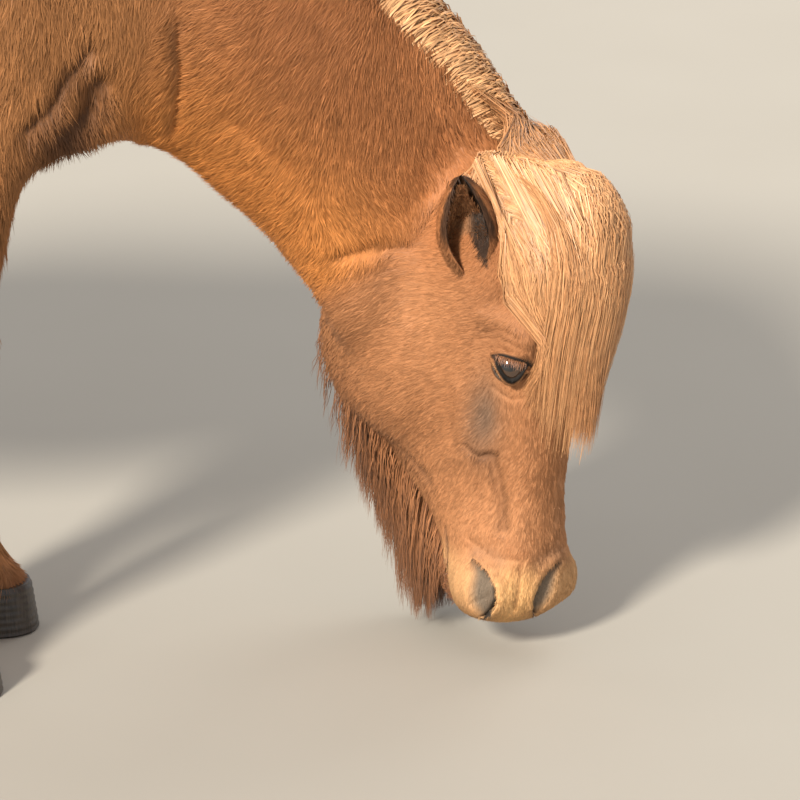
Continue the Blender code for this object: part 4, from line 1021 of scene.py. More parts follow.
# Tufts: roots drawn evenly over the picked faces, each a needle of three faces from a root as wide
# as the tuft to one tip, laid along the lie and lifted a little. A patch of the unwrap goes with it.
def tuftPiece(name, picked, settings, seed):
    draw = np.random.default_rng(seed)
    tris = skinTris[picked]
    corners = skinPoints[tris]
    area = np.linalg.norm(np.cross(corners[:, 1] - corners[:, 0], corners[:, 2] - corners[:, 0]), axis=1)
    middle = corners.mean(1)
    length = hairLength(middle)
    dense = area / length ** settings.get("even", 1.0)
    count = min(int(settings["count"]), 66000)
    face = draw.choice(len(tris), count, p=dense / dense.sum())
    a, b = draw.random(count), draw.random(count)
    flip = a + b > 1
    a[flip], b[flip] = 1 - a[flip], 1 - b[flip]
    weight = np.stack([1 - a - b, a, b], 1)
    root = (corners[face] * weight[..., None]).sum(1)
    normal = unit((skinNormals[tris[face]] * weight[..., None]).sum(1))
    uv = (skinUV[picked][face] * weight[..., None]).sum(1)
    lie = lieOf(root, normal)
    side = np.cross(normal, lie)
    stray = draw.normal(0, settings["stray"], count)[:, None]
    clump = np.sin(root @ np.array([90.0, 60.0, 75.0]))[:, None] * 0.10
    lie = unit(lie + side * (stray + clump))
    side = np.cross(normal, lie)
    long = hairLength(root) * draw.uniform(0.65, 1.25, count) * settings.get("long", 1.0)
    wide = (settings["wide"] * draw.uniform(0.7, 1.2, count) * np.clip(long / 0.012, 0.5, 1.2))[:, None]
    lift = (long * draw.uniform(settings["lift"] * 0.4, settings["lift"] * 1.5, count))[:, None]
    bend = side * (long * draw.normal(0, 0.10, count))[:, None]
    points = np.stack([root - side * wide / 2 - normal * 0.0006, root + side * wide / 2 - normal * 0.0006,
                       root + normal * wide * 0.35 + lie * wide * 0.5,
                       root + lie * long[:, None] + normal * lift + bend], 1)
    base = np.arange(count)[:, None] * 4
    corner = np.array([0, 3, 2, 2, 3, 1, 1, 3, 0])
    mesh = makeMesh(name, points.reshape(-1, 3), (base + corner).reshape(-1, 3))
    facing = np.stack([normal - side * 0.30, normal + side * 0.30, normal, normal + lie * 0.30], 1)
    facing += draw.normal(0, 0.16, (count, 1, 3))
    mesh.normals_split_custom_set_from_vertices(unit(facing).reshape(-1, 3))
    patch = np.array([[-0.0015, -0.0015], [0.0015, -0.0015], [0.0, 0.0], [0.0, 0.0015]])
    addUV(mesh, (uv[:, None] + patch)[np.arange(count)[:, None], corner])
    colour = coatColour(root, normal) * draw.normal(1.0, 0.11, count).clip(0.7, 1.35)[:, None]
    shade = np.array([0.78, 0.78, 0.92, 1.12])
    addColour(mesh, "hairColour", (colour[:, None] * shade[None, :, None]).reshape(-1, 3))
    piece = makePiece(name, mesh, tuftMaterial)
    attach(piece, "root")
    print(name, len(mesh.polygons))
    return piece


coat = {
    "coatFaceRight": {"count": 60000, "wide": 0.0009, "lift": 0.15, "stray": 0.13},
    "coatFaceLeft": {"count": 22000, "wide": 0.0014, "lift": 0.15, "stray": 0.13},
    "coatNeckRight": {"count": 55000, "wide": 0.0012, "lift": 0.16, "stray": 0.15},
    "coatNeckLeft": {"count": 20000, "wide": 0.0022, "lift": 0.16, "stray": 0.15},
    "coatShoulderRight": {"count": 42000, "wide": 0.0014, "lift": 0.17, "stray": 0.18},
    "coatShoulderLeft": {"count": 18000, "wide": 0.0028, "lift": 0.17, "stray": 0.18},
    "coatBarrelRight": {"count": 22000, "wide": 0.0026, "lift": 0.17, "stray": 0.18},
    "coatBarrelLeft": {"count": 20000, "wide": 0.0028, "lift": 0.17, "stray": 0.18},
    "coatRump": {"count": 26000, "wide": 0.0028, "lift": 0.17, "stray": 0.18},
    "coatLegs": {"count": 22000, "wide": 0.0020, "lift": 0.14, "stray": 0.14},
}


def coatRegions():
    middle = skinPoints[skinTris].mean(1)
    x, y, z = middle[:, 0] - pony["breastX"], middle[:, 1], middle[:, 2]
    isHead = headShare(middle) > 0.5
    left = headPlace(middle)[2]
    legs = (z < 0.385) & ~isHead & (x < 0)
    soles = z < 0.050
    neck = ~isHead & (x > -0.02)
    shoulder = ~isHead & (x <= -0.02) & (x > -0.30) & ~legs
    barrel = (x <= -0.30) & (x > -0.68) & ~legs
    rump = (x <= -0.68) & ~legs
    return {
        "coatFaceRight": isHead & (left < 0), "coatFaceLeft": isHead & (left >= 0),
        "coatNeckRight": neck & (y < 0.045), "coatNeckLeft": neck & (y >= 0.045),
        "coatShoulderRight": shoulder & (y < 0), "coatShoulderLeft": shoulder & (y >= 0),
        "coatBarrelRight": barrel & (y < 0), "coatBarrelLeft": barrel & (y >= 0),
        "coatRump": rump, "coatLegs": legs & ~soles,
    }


for seed, (name, mask) in enumerate(coatRegions().items()):
    tuftPiece(name, np.flatnonzero(mask), coat[name], 100 + seed)


# Strands: a flat ribbon along each path, narrowing to its tip, its colour from root to tip. Its
# normals lean toward the outside of the whole bundle, so that the bundle is shaded as one form.
def strandPiece(name, paths, across, wide, colour, tip, uv, outside, seed):
    draw = np.random.default_rng(seed)
    count, steps = paths.shape[:2]
    ahead = unit(np.gradient(paths, axis=1))
    across = across if across.ndim == 3 else across[:, None]
    side = unit(across - (across * ahead).sum(2, keepdims=True) * ahead)
    turn = draw.uniform(-0.5, 0.5, count)[:, None, None]
    side = side * np.cos(turn) + np.cross(side, ahead) * np.sin(turn)
    side *= np.sign((np.cross(side, ahead) * outside).sum((1, 2), keepdims=True) + 1e-9)
    share = np.linspace(0, 1, steps)[None, :, None]
    half = wide.reshape(-1, 1, 1) / 2 * (1 - 0.88 * share ** 2.5) * (0.6 + 0.4 * ease(share * 6))
    points = np.stack([paths - side * half, paths + side * half], 2).reshape(-1, 3)
    base = (np.arange(count)[:, None] * steps + np.arange(steps - 1)) * 2
    faces = np.stack([base, base + 1, base + 3, base, base + 3, base + 2], -1).reshape(-1, 3)
    mesh = makeMesh(name, points, faces)
    facing = np.cross(side, ahead)
    lean = facing * 0.8 + outside - (outside * ahead).sum(2, keepdims=True) * ahead * 0.9
    lean = lean + draw.normal(0, 0.14, (count, 1, 3))
    around = np.stack([lean - side * 0.35, lean + side * 0.35], 2)
    mesh.normals_split_custom_set_from_vertices(unit(around).reshape(-1, 3))
    corner = (faces // (2 * steps)).ravel()
    patch = np.stack([(faces % 2).ravel() - 0.5,
                      ((faces // 2) % steps).ravel() / (steps - 1) - 0.5], 1) * 0.003
    addUV(mesh, uv[corner] + patch)
    tone = draw.normal(1.0, 0.17, count).clip(0.55, 1.5)[:, None, None]
    fade = ease((share - 0.10) / 0.90)
    dark = 0.72 + 0.28 * ease(share / 0.14)
    tint = (colour[:, None] * (1 - fade) + tip[:, None] * fade) * dark * tone
    addColour(mesh, "hairColour", np.repeat(tint, 2, axis=1).reshape(-1, 3))
    piece = makePiece(name, mesh, strandMaterial)
    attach(piece, "root")
    print(name, len(faces))
    return piece


surface = BVHTree.FromPolygons(skinPoints.tolist(), skinTris.tolist())


def rootUV(points):  # the unwrap's place of the nearest point of the skin
    found = [surface.find_nearest(Vector(p))[2] for p in points]
    return skinUV[np.array(found)].mean(1)


def blended(names, share):
    a, b = (np.array(colours[n]) for n in names)
    return a * (1 - share[:, None]) + b * share[:, None]


# The height of the left side of the skin over a grid of x and z, for hair that hangs on it.
def leftSide():
    xs, zs = np.linspace(-0.10, 0.75, 70), np.linspace(0.15, 0.95, 66)
    hit = np.full((70, 66), np.nan)
    for i, x in enumerate(xs):
        for j, z in enumerate(zs):
            found = surface.ray_cast(Vector((x, 1.0, z)), Vector((0, -1, 0)))[0]
            if found:
                hit[i, j] = found.y
    return xs, zs, hit


sideX, sideZ, sideY = leftSide()


def leftSkin(x, z, fallback):
    i = np.clip(((x - sideX[0]) / (sideX[1] - sideX[0])).astype(int), 0, 69)
    j = np.clip(((z - sideZ[0]) / (sideZ[1] - sideZ[0])).astype(int), 0, 65)
    found = sideY[i, j]
    return np.where(np.isnan(found), fallback, found)


def waves(share, count, draw, size):  # a slow bend with its own phase and count in each strand
    phase = draw.uniform(0, 2 * np.pi, (count, 1))
    turns = draw.uniform(0.6, 1.8, (count, 1))
    return size * np.sin(2 * np.pi * turns * share + phase) * ease(share / 0.3)


mane = {"count": 9500, "clumps": 56, "from": 0.16, "to": 0.95, "length": 0.255, "arch": 0.026,
        "over": 0.105, "wide": 0.0019, "steps": 8, "band": (-40, 28), "seed": 31}


def neckSection(s):  # crest, middle of the section, half width, way along the crest, way out of it
    row = alongRows(pony["neck"], s)
    there = alongRows(pony["neck"], np.minimum(s + 0.01, 1.0)) - alongRows(pony["neck"], s - 0.01)
    place = lambda r, k, y: np.stack([r[..., k], y, r[..., k + 1]], -1)
    shift = np.array([pony["breastX"], 0, 0])
    crest = place(row, 2, row[..., 5]) + shift
    under = place(row, 0, row[..., 5]) + shift
    ahead = unit(place(there, 2, there[..., 5]))
    out = unit(crest - under)
    turn = row[..., 6:7]
    across = unit(np.array([0, 1.0, 0]) * (1 - turn) + faceLeft * turn)
    return crest, (crest + under) / 2, row[..., 4], ahead, out, across


def neckSkin(s, angle):  # a point of the neck's surface from its angle off the crest, and its normal
    crest, middle, half, ahead, out, across = neckSection(s)
    high = np.linalg.norm(crest - middle, axis=-1)
    thin = 1 - pony["crestThin"] * ease((np.cos(angle) + 0.15) / 1.15)
    wide = half * thin
    point = middle + out * (np.cos(angle) * high)[..., None] + across * (np.sin(angle) * wide)[..., None]
    normal = unit(out * (np.cos(angle) * wide)[..., None] + across * (np.sin(angle) * high)[..., None])
    return point - normal * 0.009, normal


# Mane: rooted in a band over the crest, sweeps forward and over it and falls down the left side.
# Strands gather to the middle of their lock as they fall.
def makeMane():
    draw = np.random.default_rng(mane["seed"])
    count, steps = mane["count"], mane["steps"]
    u = draw.random(count)
    number = np.floor(u * mane["clumps"])
    clump = (number + 0.5 + 0.3 * np.sin(number * 2.4)) / mane["clumps"]
    share = np.linspace(0, 1, steps)[None]
    gather = 0.80 * ease(share * 1.4) * draw.uniform(0.3, 1.0, (count, 1))
    place = u[:, None] * (1 - gather) + clump[:, None] * gather
    s = mane["from"] + (mane["to"] - mane["from"]) * place
    angle = np.radians(draw.uniform(*mane["band"], count))[:, None]
    root, normal = neckSkin(s, angle + 0 * share)
    tall = mane["length"] * (0.70 + 0.30 * np.sin(np.pi * np.minimum(u + 0.2, 1)))
    tall = (tall * (1 + 0.16 * np.sin(number * 1.7)) * draw.uniform(0.55, 1.02, count))[:, None]
    fall = share ** 1.25 * tall
    layer = draw.random((count, 1))
    sweep = 0.050 * ease(fall / mane["over"])
    s2 = np.minimum(s + sweep / 0.62, 1.0)
    crest, middle, half, ahead, out, across = neckSection(s2)
    gone = ease(fall / mane["over"])[..., None]
    below = np.maximum(fall - mane["over"] * 0.55, 0)[..., None]
    top = crest - out * 0.006
    point = root * (1 - gone) + top * gone + below * (np.array([0, 0, -1.0]) + ahead * 0.14)
    arch = (mane["arch"] * (0.25 + 0.75 * layer) * np.sin(np.pi * np.clip(fall / mane["over"] / 1.15, 0, 1)))
    point += out * arch[..., None] + ahead * waves(share, count, draw, 0.004)[..., None]
    skinY = np.maximum(leftSkin(point[..., 0], point[..., 2], crest[..., 1] + 0.03), crest[..., 1])
    over = ease((fall - 0.35 * mane["over"]) / (0.75 * mane["over"]))
    point[..., 1] += (skinY + 0.004 + 0.014 * layer - point[..., 1]) * over
    point[..., 2] = np.maximum(point[..., 2], 0.02)
    light = np.clip(draw.normal(0.35, 0.22, count), 0, 1)
    outside = unit(out * (1 - gone) + across * gone + out * 0.3)
    strandPiece("mane", point, ahead, np.full(count, mane["wide"]) * draw.uniform(0.6, 1.2, count),
                blended(("mane", "flax"), 0.4 + 0.6 * light), blended(("mane", "flax"), light * 0.6),
                rootUV(point[:, 1]), outside, mane["seed"] + 1)


makeMane()


# The skin's distance out of the face over a grid of distances down it and to its left.
def faceGrid():
    downs, lefts = np.linspace(-0.03, 0.33, 48), np.linspace(-0.075, 0.075, 31)
    found = np.full((48, 31), -0.12)
    for i, down in enumerate(downs):
        for j, left in enumerate(lefts):
            start = headPoint(down, 0.15, left)
            way = headPoint(down, 0.05, left) - start
            hit = surface.ray_cast(Vector(start), Vector(way).normalized(), 0.30)[0]
            if hit:
                found[i, j] = headPlace(np.array([hit]))[1][0]
    return found


faceSurface = faceGrid()


def faceOutAt(down, left):  # the grid's value between its rows and columns
    i = np.clip((down + 0.03) / 0.36 * 47, 0, 46.999)
    j = np.clip((left + 0.075) / 0.15 * 30, 0, 29.999)
    a, b = i.astype(int), j.astype(int)
    p, q = i - a, j - b
    g = faceSurface
    return ((g[a, b] * (1 - q) + g[a, b + 1] * q) * (1 - p) + (g[a + 1, b] * (1 - q) + g[a + 1, b + 1] * q) * p)


forelock = {"count": 10000, "clumps": 22, "length": 0.285, "wide": 0.0012, "steps": 10, "seed": 41,
            "layers": ((0.030, -0.040, 0.018, 0.004), (0.012, -0.062, 0.027, 0.016),
                       (-0.004, -0.090, 0.034, 0.027))}
# layers: root down the face, root out of it, height of the arch, stand off the face


# Forelock: rooted between the ears, fans over the brow and hangs before the face to soft points.
def makeForelock():
    draw = np.random.default_rng(forelock["seed"])
    count, steps = forelock["count"], forelock["steps"]
    v = draw.uniform(-1, 1, count)
    number = np.floor((v + 1) / 2 * forelock["clumps"])
    clump = ((number + 0.5 + 0.3 * np.sin(number * 2.7)) / forelock["clumps"]) * 2 - 1
    share = np.linspace(0, 1, steps)[None]
    gather = 0.9 * ease((share - 0.25) * 1.5) * draw.uniform(0.2, 1.0, (count, 1))
    side = v[:, None] * (1 - gather) + clump[:, None] * gather
    layer = draw.random(count)
    down, out, arch, stand = (c[:, None] for c in alongRows(forelock["layers"], layer).T)
    length = (forelock["length"] * (0.78 + 0.22 * draw.random(count) ** 0.7) * (1 + 0.06 * np.sin(number * 2.1))
              * (1 - 0.10 * np.abs(v)) * (0.80 + 0.20 * layer))[:, None]
    fall = share ** 1.25 * length
    far = ease(side)
    rise = arch * (1 - 0.75 * far) * np.sin(np.pi * np.minimum(fall / 0.095, 1))
    left = side * (0.038 + 0.006 * ease(fall / 0.12) + 0.020 * far * ease(fall / 0.15)
                   + 0.014 * (1 - far) * ease(fall / 0.08) * ease((fall - length * 0.9) / (-0.10)))
    left -= 0.034 * far * ease((fall / length - 0.50) / 0.55)
    left += waves(share, count, draw, 0.0035)
    below = down + np.maximum(fall - 0.055, 0) - rise
    rest = faceOutAt(below, left) + 0.004 + 0.010 * layer[:, None]
    full = 0.004 + stand - 0.030 * side ** 2
    full = np.maximum(full, rest)
    near = ease((-side - 0.25) / 0.6)
    front = full + (rest - full) * near + waves(share, count, draw, 0.0020)
    front -= 0.012 * far * ease((fall / length - 0.55) / 0.45)
    reach = ease(fall / (0.085 + 0.02 * near))
    place = headPoint(below, out + (front - out) * reach, left)
    place[:, 0] -= unit(place[:, 1] - place[:, 0]) * 0.012
    outside = unit(faceOut * (1.25 - np.abs(side[..., None])) + faceLeft * (side[..., None] * 0.9 - 0.35)
                   + upward * 0.25)
    ahead = unit(np.gradient(place, axis=1))
    facing = unit(outside + (faceOut - faceDown) * (1 - ease(share / 0.25))[..., None])
    across = np.cross(facing, ahead)
    light = np.clip(draw.normal(0.45, 0.26, count), 0, 1)
    strandPiece("forelock", place, across, np.full(count, forelock["wide"]) * draw.uniform(0.6, 1.25, count),
                blended(("mane", "flax"), light), blended(("brown", "mane"), 0.55 + 0.45 * light),
                rootUV(place[:, 1]), outside, forelock["seed"] + 1)


makeForelock()

bridge = {"count": 6500, "from": 0.52, "to": 0.99, "wide": 0.0014, "steps": 11, "seed": 45}


# The mane of the upper neck sweeps on over the poll and joins the forelock. Each strand follows a
# curve through its root, the crest ahead of it, the poll and four places down the brow.
def makeBridge():
    draw = np.random.default_rng(bridge["seed"])
    count, steps = bridge["count"], bridge["steps"]
    u = draw.random(count)
    s = bridge["from"] + (bridge["to"] - bridge["from"]) * u
    angle = np.radians(draw.uniform(-42, 30, count))
    side = np.clip(angle / np.radians(50) + draw.normal(0.25, 0.35, count), -0.75, 1.0)
    layer = draw.random(count)
    root, normal = neckSkin(s, angle)
    ahead = np.minimum(s + 0.42 * (1.04 - s), 1.0)
    second, lift = neckSkin(ahead, angle * 0.6 + 0.30)
    far = np.maximum(side, 0)
    second = second + lift * (0.010 + 0.012 * layer + 0.006 * far)[:, None]
    third = headPoint(-0.020 - 0.006 * layer - 0.004 * far, -0.094 - 0.010 * far,
                      side * (0.034 + 0.030 * far))
    fourth = headPoint(0.000 - 0.008 * layer + 0.026 * far, -0.034 + 0.006 * layer, side * 0.044)
    full = 0.010 + 0.024 * layer - 0.026 * side ** 2
    fifth = headPoint(0.045, full, side * 0.056)
    sixth = headPoint(0.130, full - 0.002, side * 0.060 - 0.004 * far)
    low = 0.200 + 0.055 * draw.random(count) - 0.020 * np.abs(side)
    seventh = headPoint(low, full - 0.008 - 0.014 * far, side * 0.050 - 0.020 * far)
    stops = np.stack([root, second, third, fourth, fifth, sixth, seventh])
    end = 0.45 + 0.55 * draw.random(count) ** (0.5 + 0.9 * np.maximum(-side, 0))
    share = np.linspace(0, 1, steps)[None]
    place = np.stack([alongRows(stops[:, k], share[0] * end[k]) for k in range(count)])
    place += (faceLeft * waves(share, count, draw, 0.003)[..., None]
              + upward * waves(share, count, draw, 0.003)[..., None])
    middle = headPoint(0.10, -0.12, 0.0)
    outside = unit(unit(place - middle) * 0.7 + upward * 0.3 - faceLeft * 0.2)
    across = np.cross(outside, unit(np.gradient(place, axis=1)))
    light = np.clip(draw.normal(0.40, 0.25, count), 0, 1)
    strandPiece("pollMane", place, across, np.full(count, bridge["wide"]) * draw.uniform(0.6, 1.2, count),
                blended(("brown", "mane"), 0.7 + 0.3 * light), blended(("mane", "flax"), light * 0.7),
                rootUV(place[:, 0]), outside, bridge["seed"] + 1)


makeBridge()

beard = {"count": 12000, "wide": 0.0010, "steps": 6, "seed": 51,
         "longest": ((0.10, 0.022), (0.14, 0.034), (0.18, 0.050), (0.22, 0.070), (0.25, 0.086),
                     (0.274, 0.100), (0.286, 0.115), (0.302, 0.135), (0.317, 0.160), (0.328, 0.165),
                     (0.342, 0.145), (0.358, 0.100), (0.372, 0.045), (0.385, 0.015))}
# longest: distance down the face, length of hair there


# Beard: from the sides and lower edge of both jaws, laid along the jaw, then straight down.
def makeBeard():
    draw = np.random.default_rng(beard["seed"])
    count, steps = beard["count"], beard["steps"]
    middle = skinPoints[skinTris].mean(1)
    down, out, left = headPlace(middle)
    back = np.interp(down, [r[0] for r in head["rows"]], [r[2] for r in head["rows"]])
    above = 0.020 + 0.036 * ease((down - 0.22) / 0.07)
    weight = ease((above - (out - back)) / 0.030) * ease((down - 0.09) / 0.08) * (1 - ease((down - 0.385) / 0.03))
    weight *= headShare(middle) > 0.5
    corners = skinPoints[skinTris]
    area = np.linalg.norm(np.cross(corners[:, 1] - corners[:, 0], corners[:, 2] - corners[:, 0]), axis=1)
    weight = weight * area * (1 + 3.0 * ease((down - 0.25) / 0.05))
    face = draw.choice(len(middle), count, p=weight / weight.sum())
    mix = draw.dirichlet((1, 1, 1), count)
    root = (corners[face] * mix[..., None]).sum(1)
    normal = unit((skinNormals[skinTris[face]] * mix[..., None]).sum(1))
    height = np.clip((out[face] - back[face]) / 0.05, 0, 1)
    clump = np.floor((down[face] + 0.25 * left[face]) * 260 + draw.normal(0, 0.25, count))
    longest = np.array(beard["longest"])
    length = np.interp(down[face], longest[:, 0], longest[:, 1]) * (1 - 0.25 * height)
    length *= (0.45 + 0.55 * draw.random(count) ** 0.6) * (1 + 0.12 * np.sin(clump * 2.3))
    share = np.linspace(0, 1, steps)[None, :, None]
    low = ease((down[face] - 0.24) / 0.06)[:, None]
    start = lieOf(root, normal) * 0.35 + normal * (0.55 - 0.15 * low)
    hang = np.array([0, 0, -1.0]) - faceOut * (0.10 * (1 - low))
    long = length[:, None, None]
    place = (root[:, None] + start[:, None] * (long * share * (1 - share / 2) * 0.40)
             + hang[:, None] * (long * share ** 1.15 * 0.84))
    place += faceOut * waves(share[..., 0], count, draw, 0.0022)[..., None]
    place += faceLeft * waves(share[..., 0], count, draw, 0.0022)[..., None]
    place += faceOut * (0.004 * np.sin(clump * 1.3))[:, None, None] * share ** 2
    place[:, 0] -= normal * 0.002
    place[..., 2] = np.maximum(place[..., 2], 0.010)
    light = np.clip(draw.normal(0.35, 0.25, count) + 0.3 * height, 0, 1)
    strandPiece("beard", place, np.tile(faceOut, (count, 1)),
                np.full(count, beard["wide"]) * draw.uniform(0.6, 1.2, count),
                blended(("jaw", "cheek"), light * 0.35), blended(("brown", "jaw"), light * 0.5),
                skinUV[face].mean(1), unit(normal * 0.8 + 0.2 * upward)[:, None], beard["seed"] + 1)


makeBeard()

tail = {"count": 7500, "clumps": 30, "wide": 0.0028, "steps": 8, "seed": 61, "low": 0.110}


# Tail: strands round the back and sides of the dock, falling past the hocks.
def makeTail():
    draw = np.random.default_rng(tail["seed"])
    count, steps = tail["count"], tail["steps"]
    rows = alongRows(pony["dock"], np.linspace(0.30, 0.98, 60))
    s = draw.random(count) ** 0.85
    x, z, radius = (np.interp(s, np.linspace(0, 1, 60), rows[:, k]) for k in range(3))
    angle = np.radians(draw.uniform(-125, 125, count))
    number = np.floor((angle / np.radians(250) + 0.5) * tail["clumps"])
    clump = np.radians(250) * ((number + 0.5) / tail["clumps"] - 0.5)
    share = np.linspace(0, 1, steps)[None]
    gather = 0.7 * ease(share * 1.2) * draw.uniform(0.3, 1, (count, 1))
    turn = angle[:, None] * (1 - gather) + clump[:, None] * gather
    out = np.stack([-np.cos(turn), np.sin(turn), 0 * turn], -1)
    tip = tail["low"] + 0.20 * (1 - s) * draw.random(count) + 0.10 * draw.random(count) ** 2 \
        + 0.02 * np.sin(number * 1.9)
    length = np.maximum(z - tip, 0.10)[:, None]
    stand = (0.006 + 0.016 * (1 - s))[:, None]
    swell = radius[:, None] * 0.75 + stand * ease(share * 3) + 0.010 * ease(share * 2) \
        - radius[:, None] * 0.35 * ease((share - 0.55) / 0.45)
    swell *= draw.uniform(0.45, 1.08, (count, 1)) ** (ease(share * 4) * 0.8)
    middle = np.stack([pony["breastX"] + x[:, None] - 0.010 * share, 0 * share + 0 * x[:, None],
                       z[:, None] - length * share], -1)
    place = middle + out * swell[..., None]
    place[..., 0] += waves(share, count, draw, 0.006)
    place[..., 1] += waves(share, count, draw, 0.006)
    light = np.clip(draw.normal(0.35, 0.25, count), 0, 1)
    across = np.cross(out, np.array([0, 0, 1.0]))
    strandPiece("tailHair", place, across, np.full(count, tail["wide"]) * draw.uniform(0.7, 1.3, count),
                blended(("brown", "mane"), 0.4 + 0.5 * light), blended(("brown", "flax"), 0.2 + 0.6 * light),
                rootUV(place[:, 1]), out, tail["seed"] + 1)


makeTail()

feather = {"count": 1800, "length": 0.060, "wide": 0.0018, "steps": 5, "seed": 71}


# Feather: short strands down the back of each fetlock, clear of the hoof.
def makeFeather():
    draw = np.random.default_rng(feather["seed"])
    count, steps = feather["count"], feather["steps"]
    middle = skinPoints[skinTris].mean(1)
    x, z = middle[:, 0] - pony["breastX"], middle[:, 2]
    centre = np.where(x > -0.5, -0.182, -0.868)
    lean = np.where(x > -0.5, pony["foreStagger"], -pony["hindStagger"]) * np.sign(middle[:, 1])
    behind = ease((centre + lean - x + 0.012) / 0.030)
    weight = behind * ease((z - 0.062) / 0.03) * (1 - ease((z - 0.150) / 0.05)) * (headShare(middle) < 0.5)
    corners = skinPoints[skinTris]
    area = np.linalg.norm(np.cross(corners[:, 1] - corners[:, 0], corners[:, 2] - corners[:, 0]), axis=1)
    weight = weight * area
    face = draw.choice(len(middle), count, p=weight / weight.sum())
    mix = draw.dirichlet((1, 1, 1), count)
    root = (corners[face] * mix[..., None]).sum(1)
    normal = unit((skinNormals[skinTris[face]] * mix[..., None]).sum(1))
    long = (feather["length"] * draw.uniform(0.5, 1.0, count))[:, None, None]
    share = np.linspace(0, 1, steps)[None, :, None]
    place = root[:, None] + normal[:, None] * (long * share * (1 - share * 0.4) * 0.42) \
        - upward * (long * share ** 1.2 * 0.88)
    place += np.array([1.0, 0, 0]) * waves(share[..., 0], count, draw, 0.002)[..., None]
    place[:, 0] -= normal * 0.002
    place[..., 2] = np.maximum(place[..., 2], 0.010)
    light = np.clip(draw.normal(0.4, 0.25, count), 0, 1)
    strandPiece("feather", place, np.cross(normal, upward), np.full(count, feather["wide"]) * draw.uniform(0.7, 1.2, count),
                blended(("brown", "shank"), light), blended(("shank", "mane"), light),
                skinUV[face].mean(1), normal[:, None], feather["seed"] + 1)


makeFeather()


# An eyeball: rings round its outward axis, with a raised cornea. Two attributes give the iris: how
# far round from the axis, and the oval of the pupil.
def eyeMaterial():
    made, tree, shader = material("wetEye", 0.06, Coat_Weight=1.0, Coat_Roughness=0.03)
    reach = node(tree, "ShaderNodeAttribute", {"attribute_name": "fromAxis"})
    rays = node(tree, "ShaderNodeTexNoise", {"Scale": 900.0, "Detail": 2.0}, Vector=objectPlace(tree))
    iris = node(tree, "ShaderNodeValToRGB", None, Fac=rays.outputs["Fac"])
    iris.color_ramp.elements[0].color = (0.010, 0.005, 0.003, 1)
    iris.color_ramp.elements[1].color = (0.075, 0.034, 0.014, 1)
    ring = node(tree, "ShaderNodeValToRGB", None, Fac=reach.outputs["Fac"])
    ring.color_ramp.elements[0].position = 0.60
    ring.color_ramp.elements[0].color = (0, 0, 0, 1)
    ring.color_ramp.elements[1].position = 0.72
    ring.color_ramp.elements[1].color = (1, 1, 1, 1)
    white = node(tree, "ShaderNodeMix", {"data_type": "RGBA"})
    tree.links.new(ring.outputs["Color"], white.inputs[0])
    tree.links.new(iris.outputs["Color"], white.inputs[6])
    white.inputs[7].default_value = (0.030, 0.018, 0.013, 1)
    pupil = node(tree, "ShaderNodeAttribute", {"attribute_name": "pupil"})
    edge = node(tree, "ShaderNodeMapRange", {"From Min": 0.90, "From Max": 1.10}, Value=pupil.outputs["Fac"])
    colour = node(tree, "ShaderNodeMix", {"data_type": "RGBA"})
    tree.links.new(edge.outputs[0], colour.inputs[0])
    colour.inputs[6].default_value = (0.002, 0.002, 0.003, 1)
    tree.links.new(white.outputs[2], colour.inputs[7])
    tree.links.new(colour.outputs[2], shader.inputs["Base Color"])
    return made


wetEye = eyeMaterial()


def makeEye(name, side):
    centre, outward, along, over = eyeAxes(side)
    theta = np.linspace(0.0, np.pi, 30)[1:-1, None]
    phi = np.linspace(0, 2 * np.pi, 48, endpoint=False)[None]
    radius = eye["radius"] * (1 + 0.035 * (1 - ease(theta / 0.75)))
    ring = (np.cos(theta)[..., None] * outward + (np.sin(theta) * np.cos(phi))[..., None] * along
            + (np.sin(theta) * np.sin(phi))[..., None] * over)
    points, faces = tube(centre + ring * radius[..., None])
    toward = unit(points - centre)
    mesh = faceOutward(makeMesh(name, points, faces))
    mesh.shade_smooth()
    a, h = toward @ along, toward @ over
    for key, value in (("fromAxis", np.arccos(np.clip(toward @ outward, -1, 1)) / 1.2),
                       ("pupil", np.hypot(a / 0.36, (h - 0.02) / 0.17) + 9.0 * (toward @ outward < 0))):
        layer = mesh.attributes.new(key, "FLOAT", "POINT")
        layer.data.foreach_set("value", value.astype(np.float32))
    piece = makePiece(name, mesh, wetEye)
    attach(piece, "root")
    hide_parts("eye_right" if side < 0 else "eye_left")
    return piece


makeEye("eyeballRight", -1)
makeEye("eyeballLeft", 1)

lashes = {"count": 120, "length": 0.010, "wide": 0.00030, "steps": 5, "seed": 81}


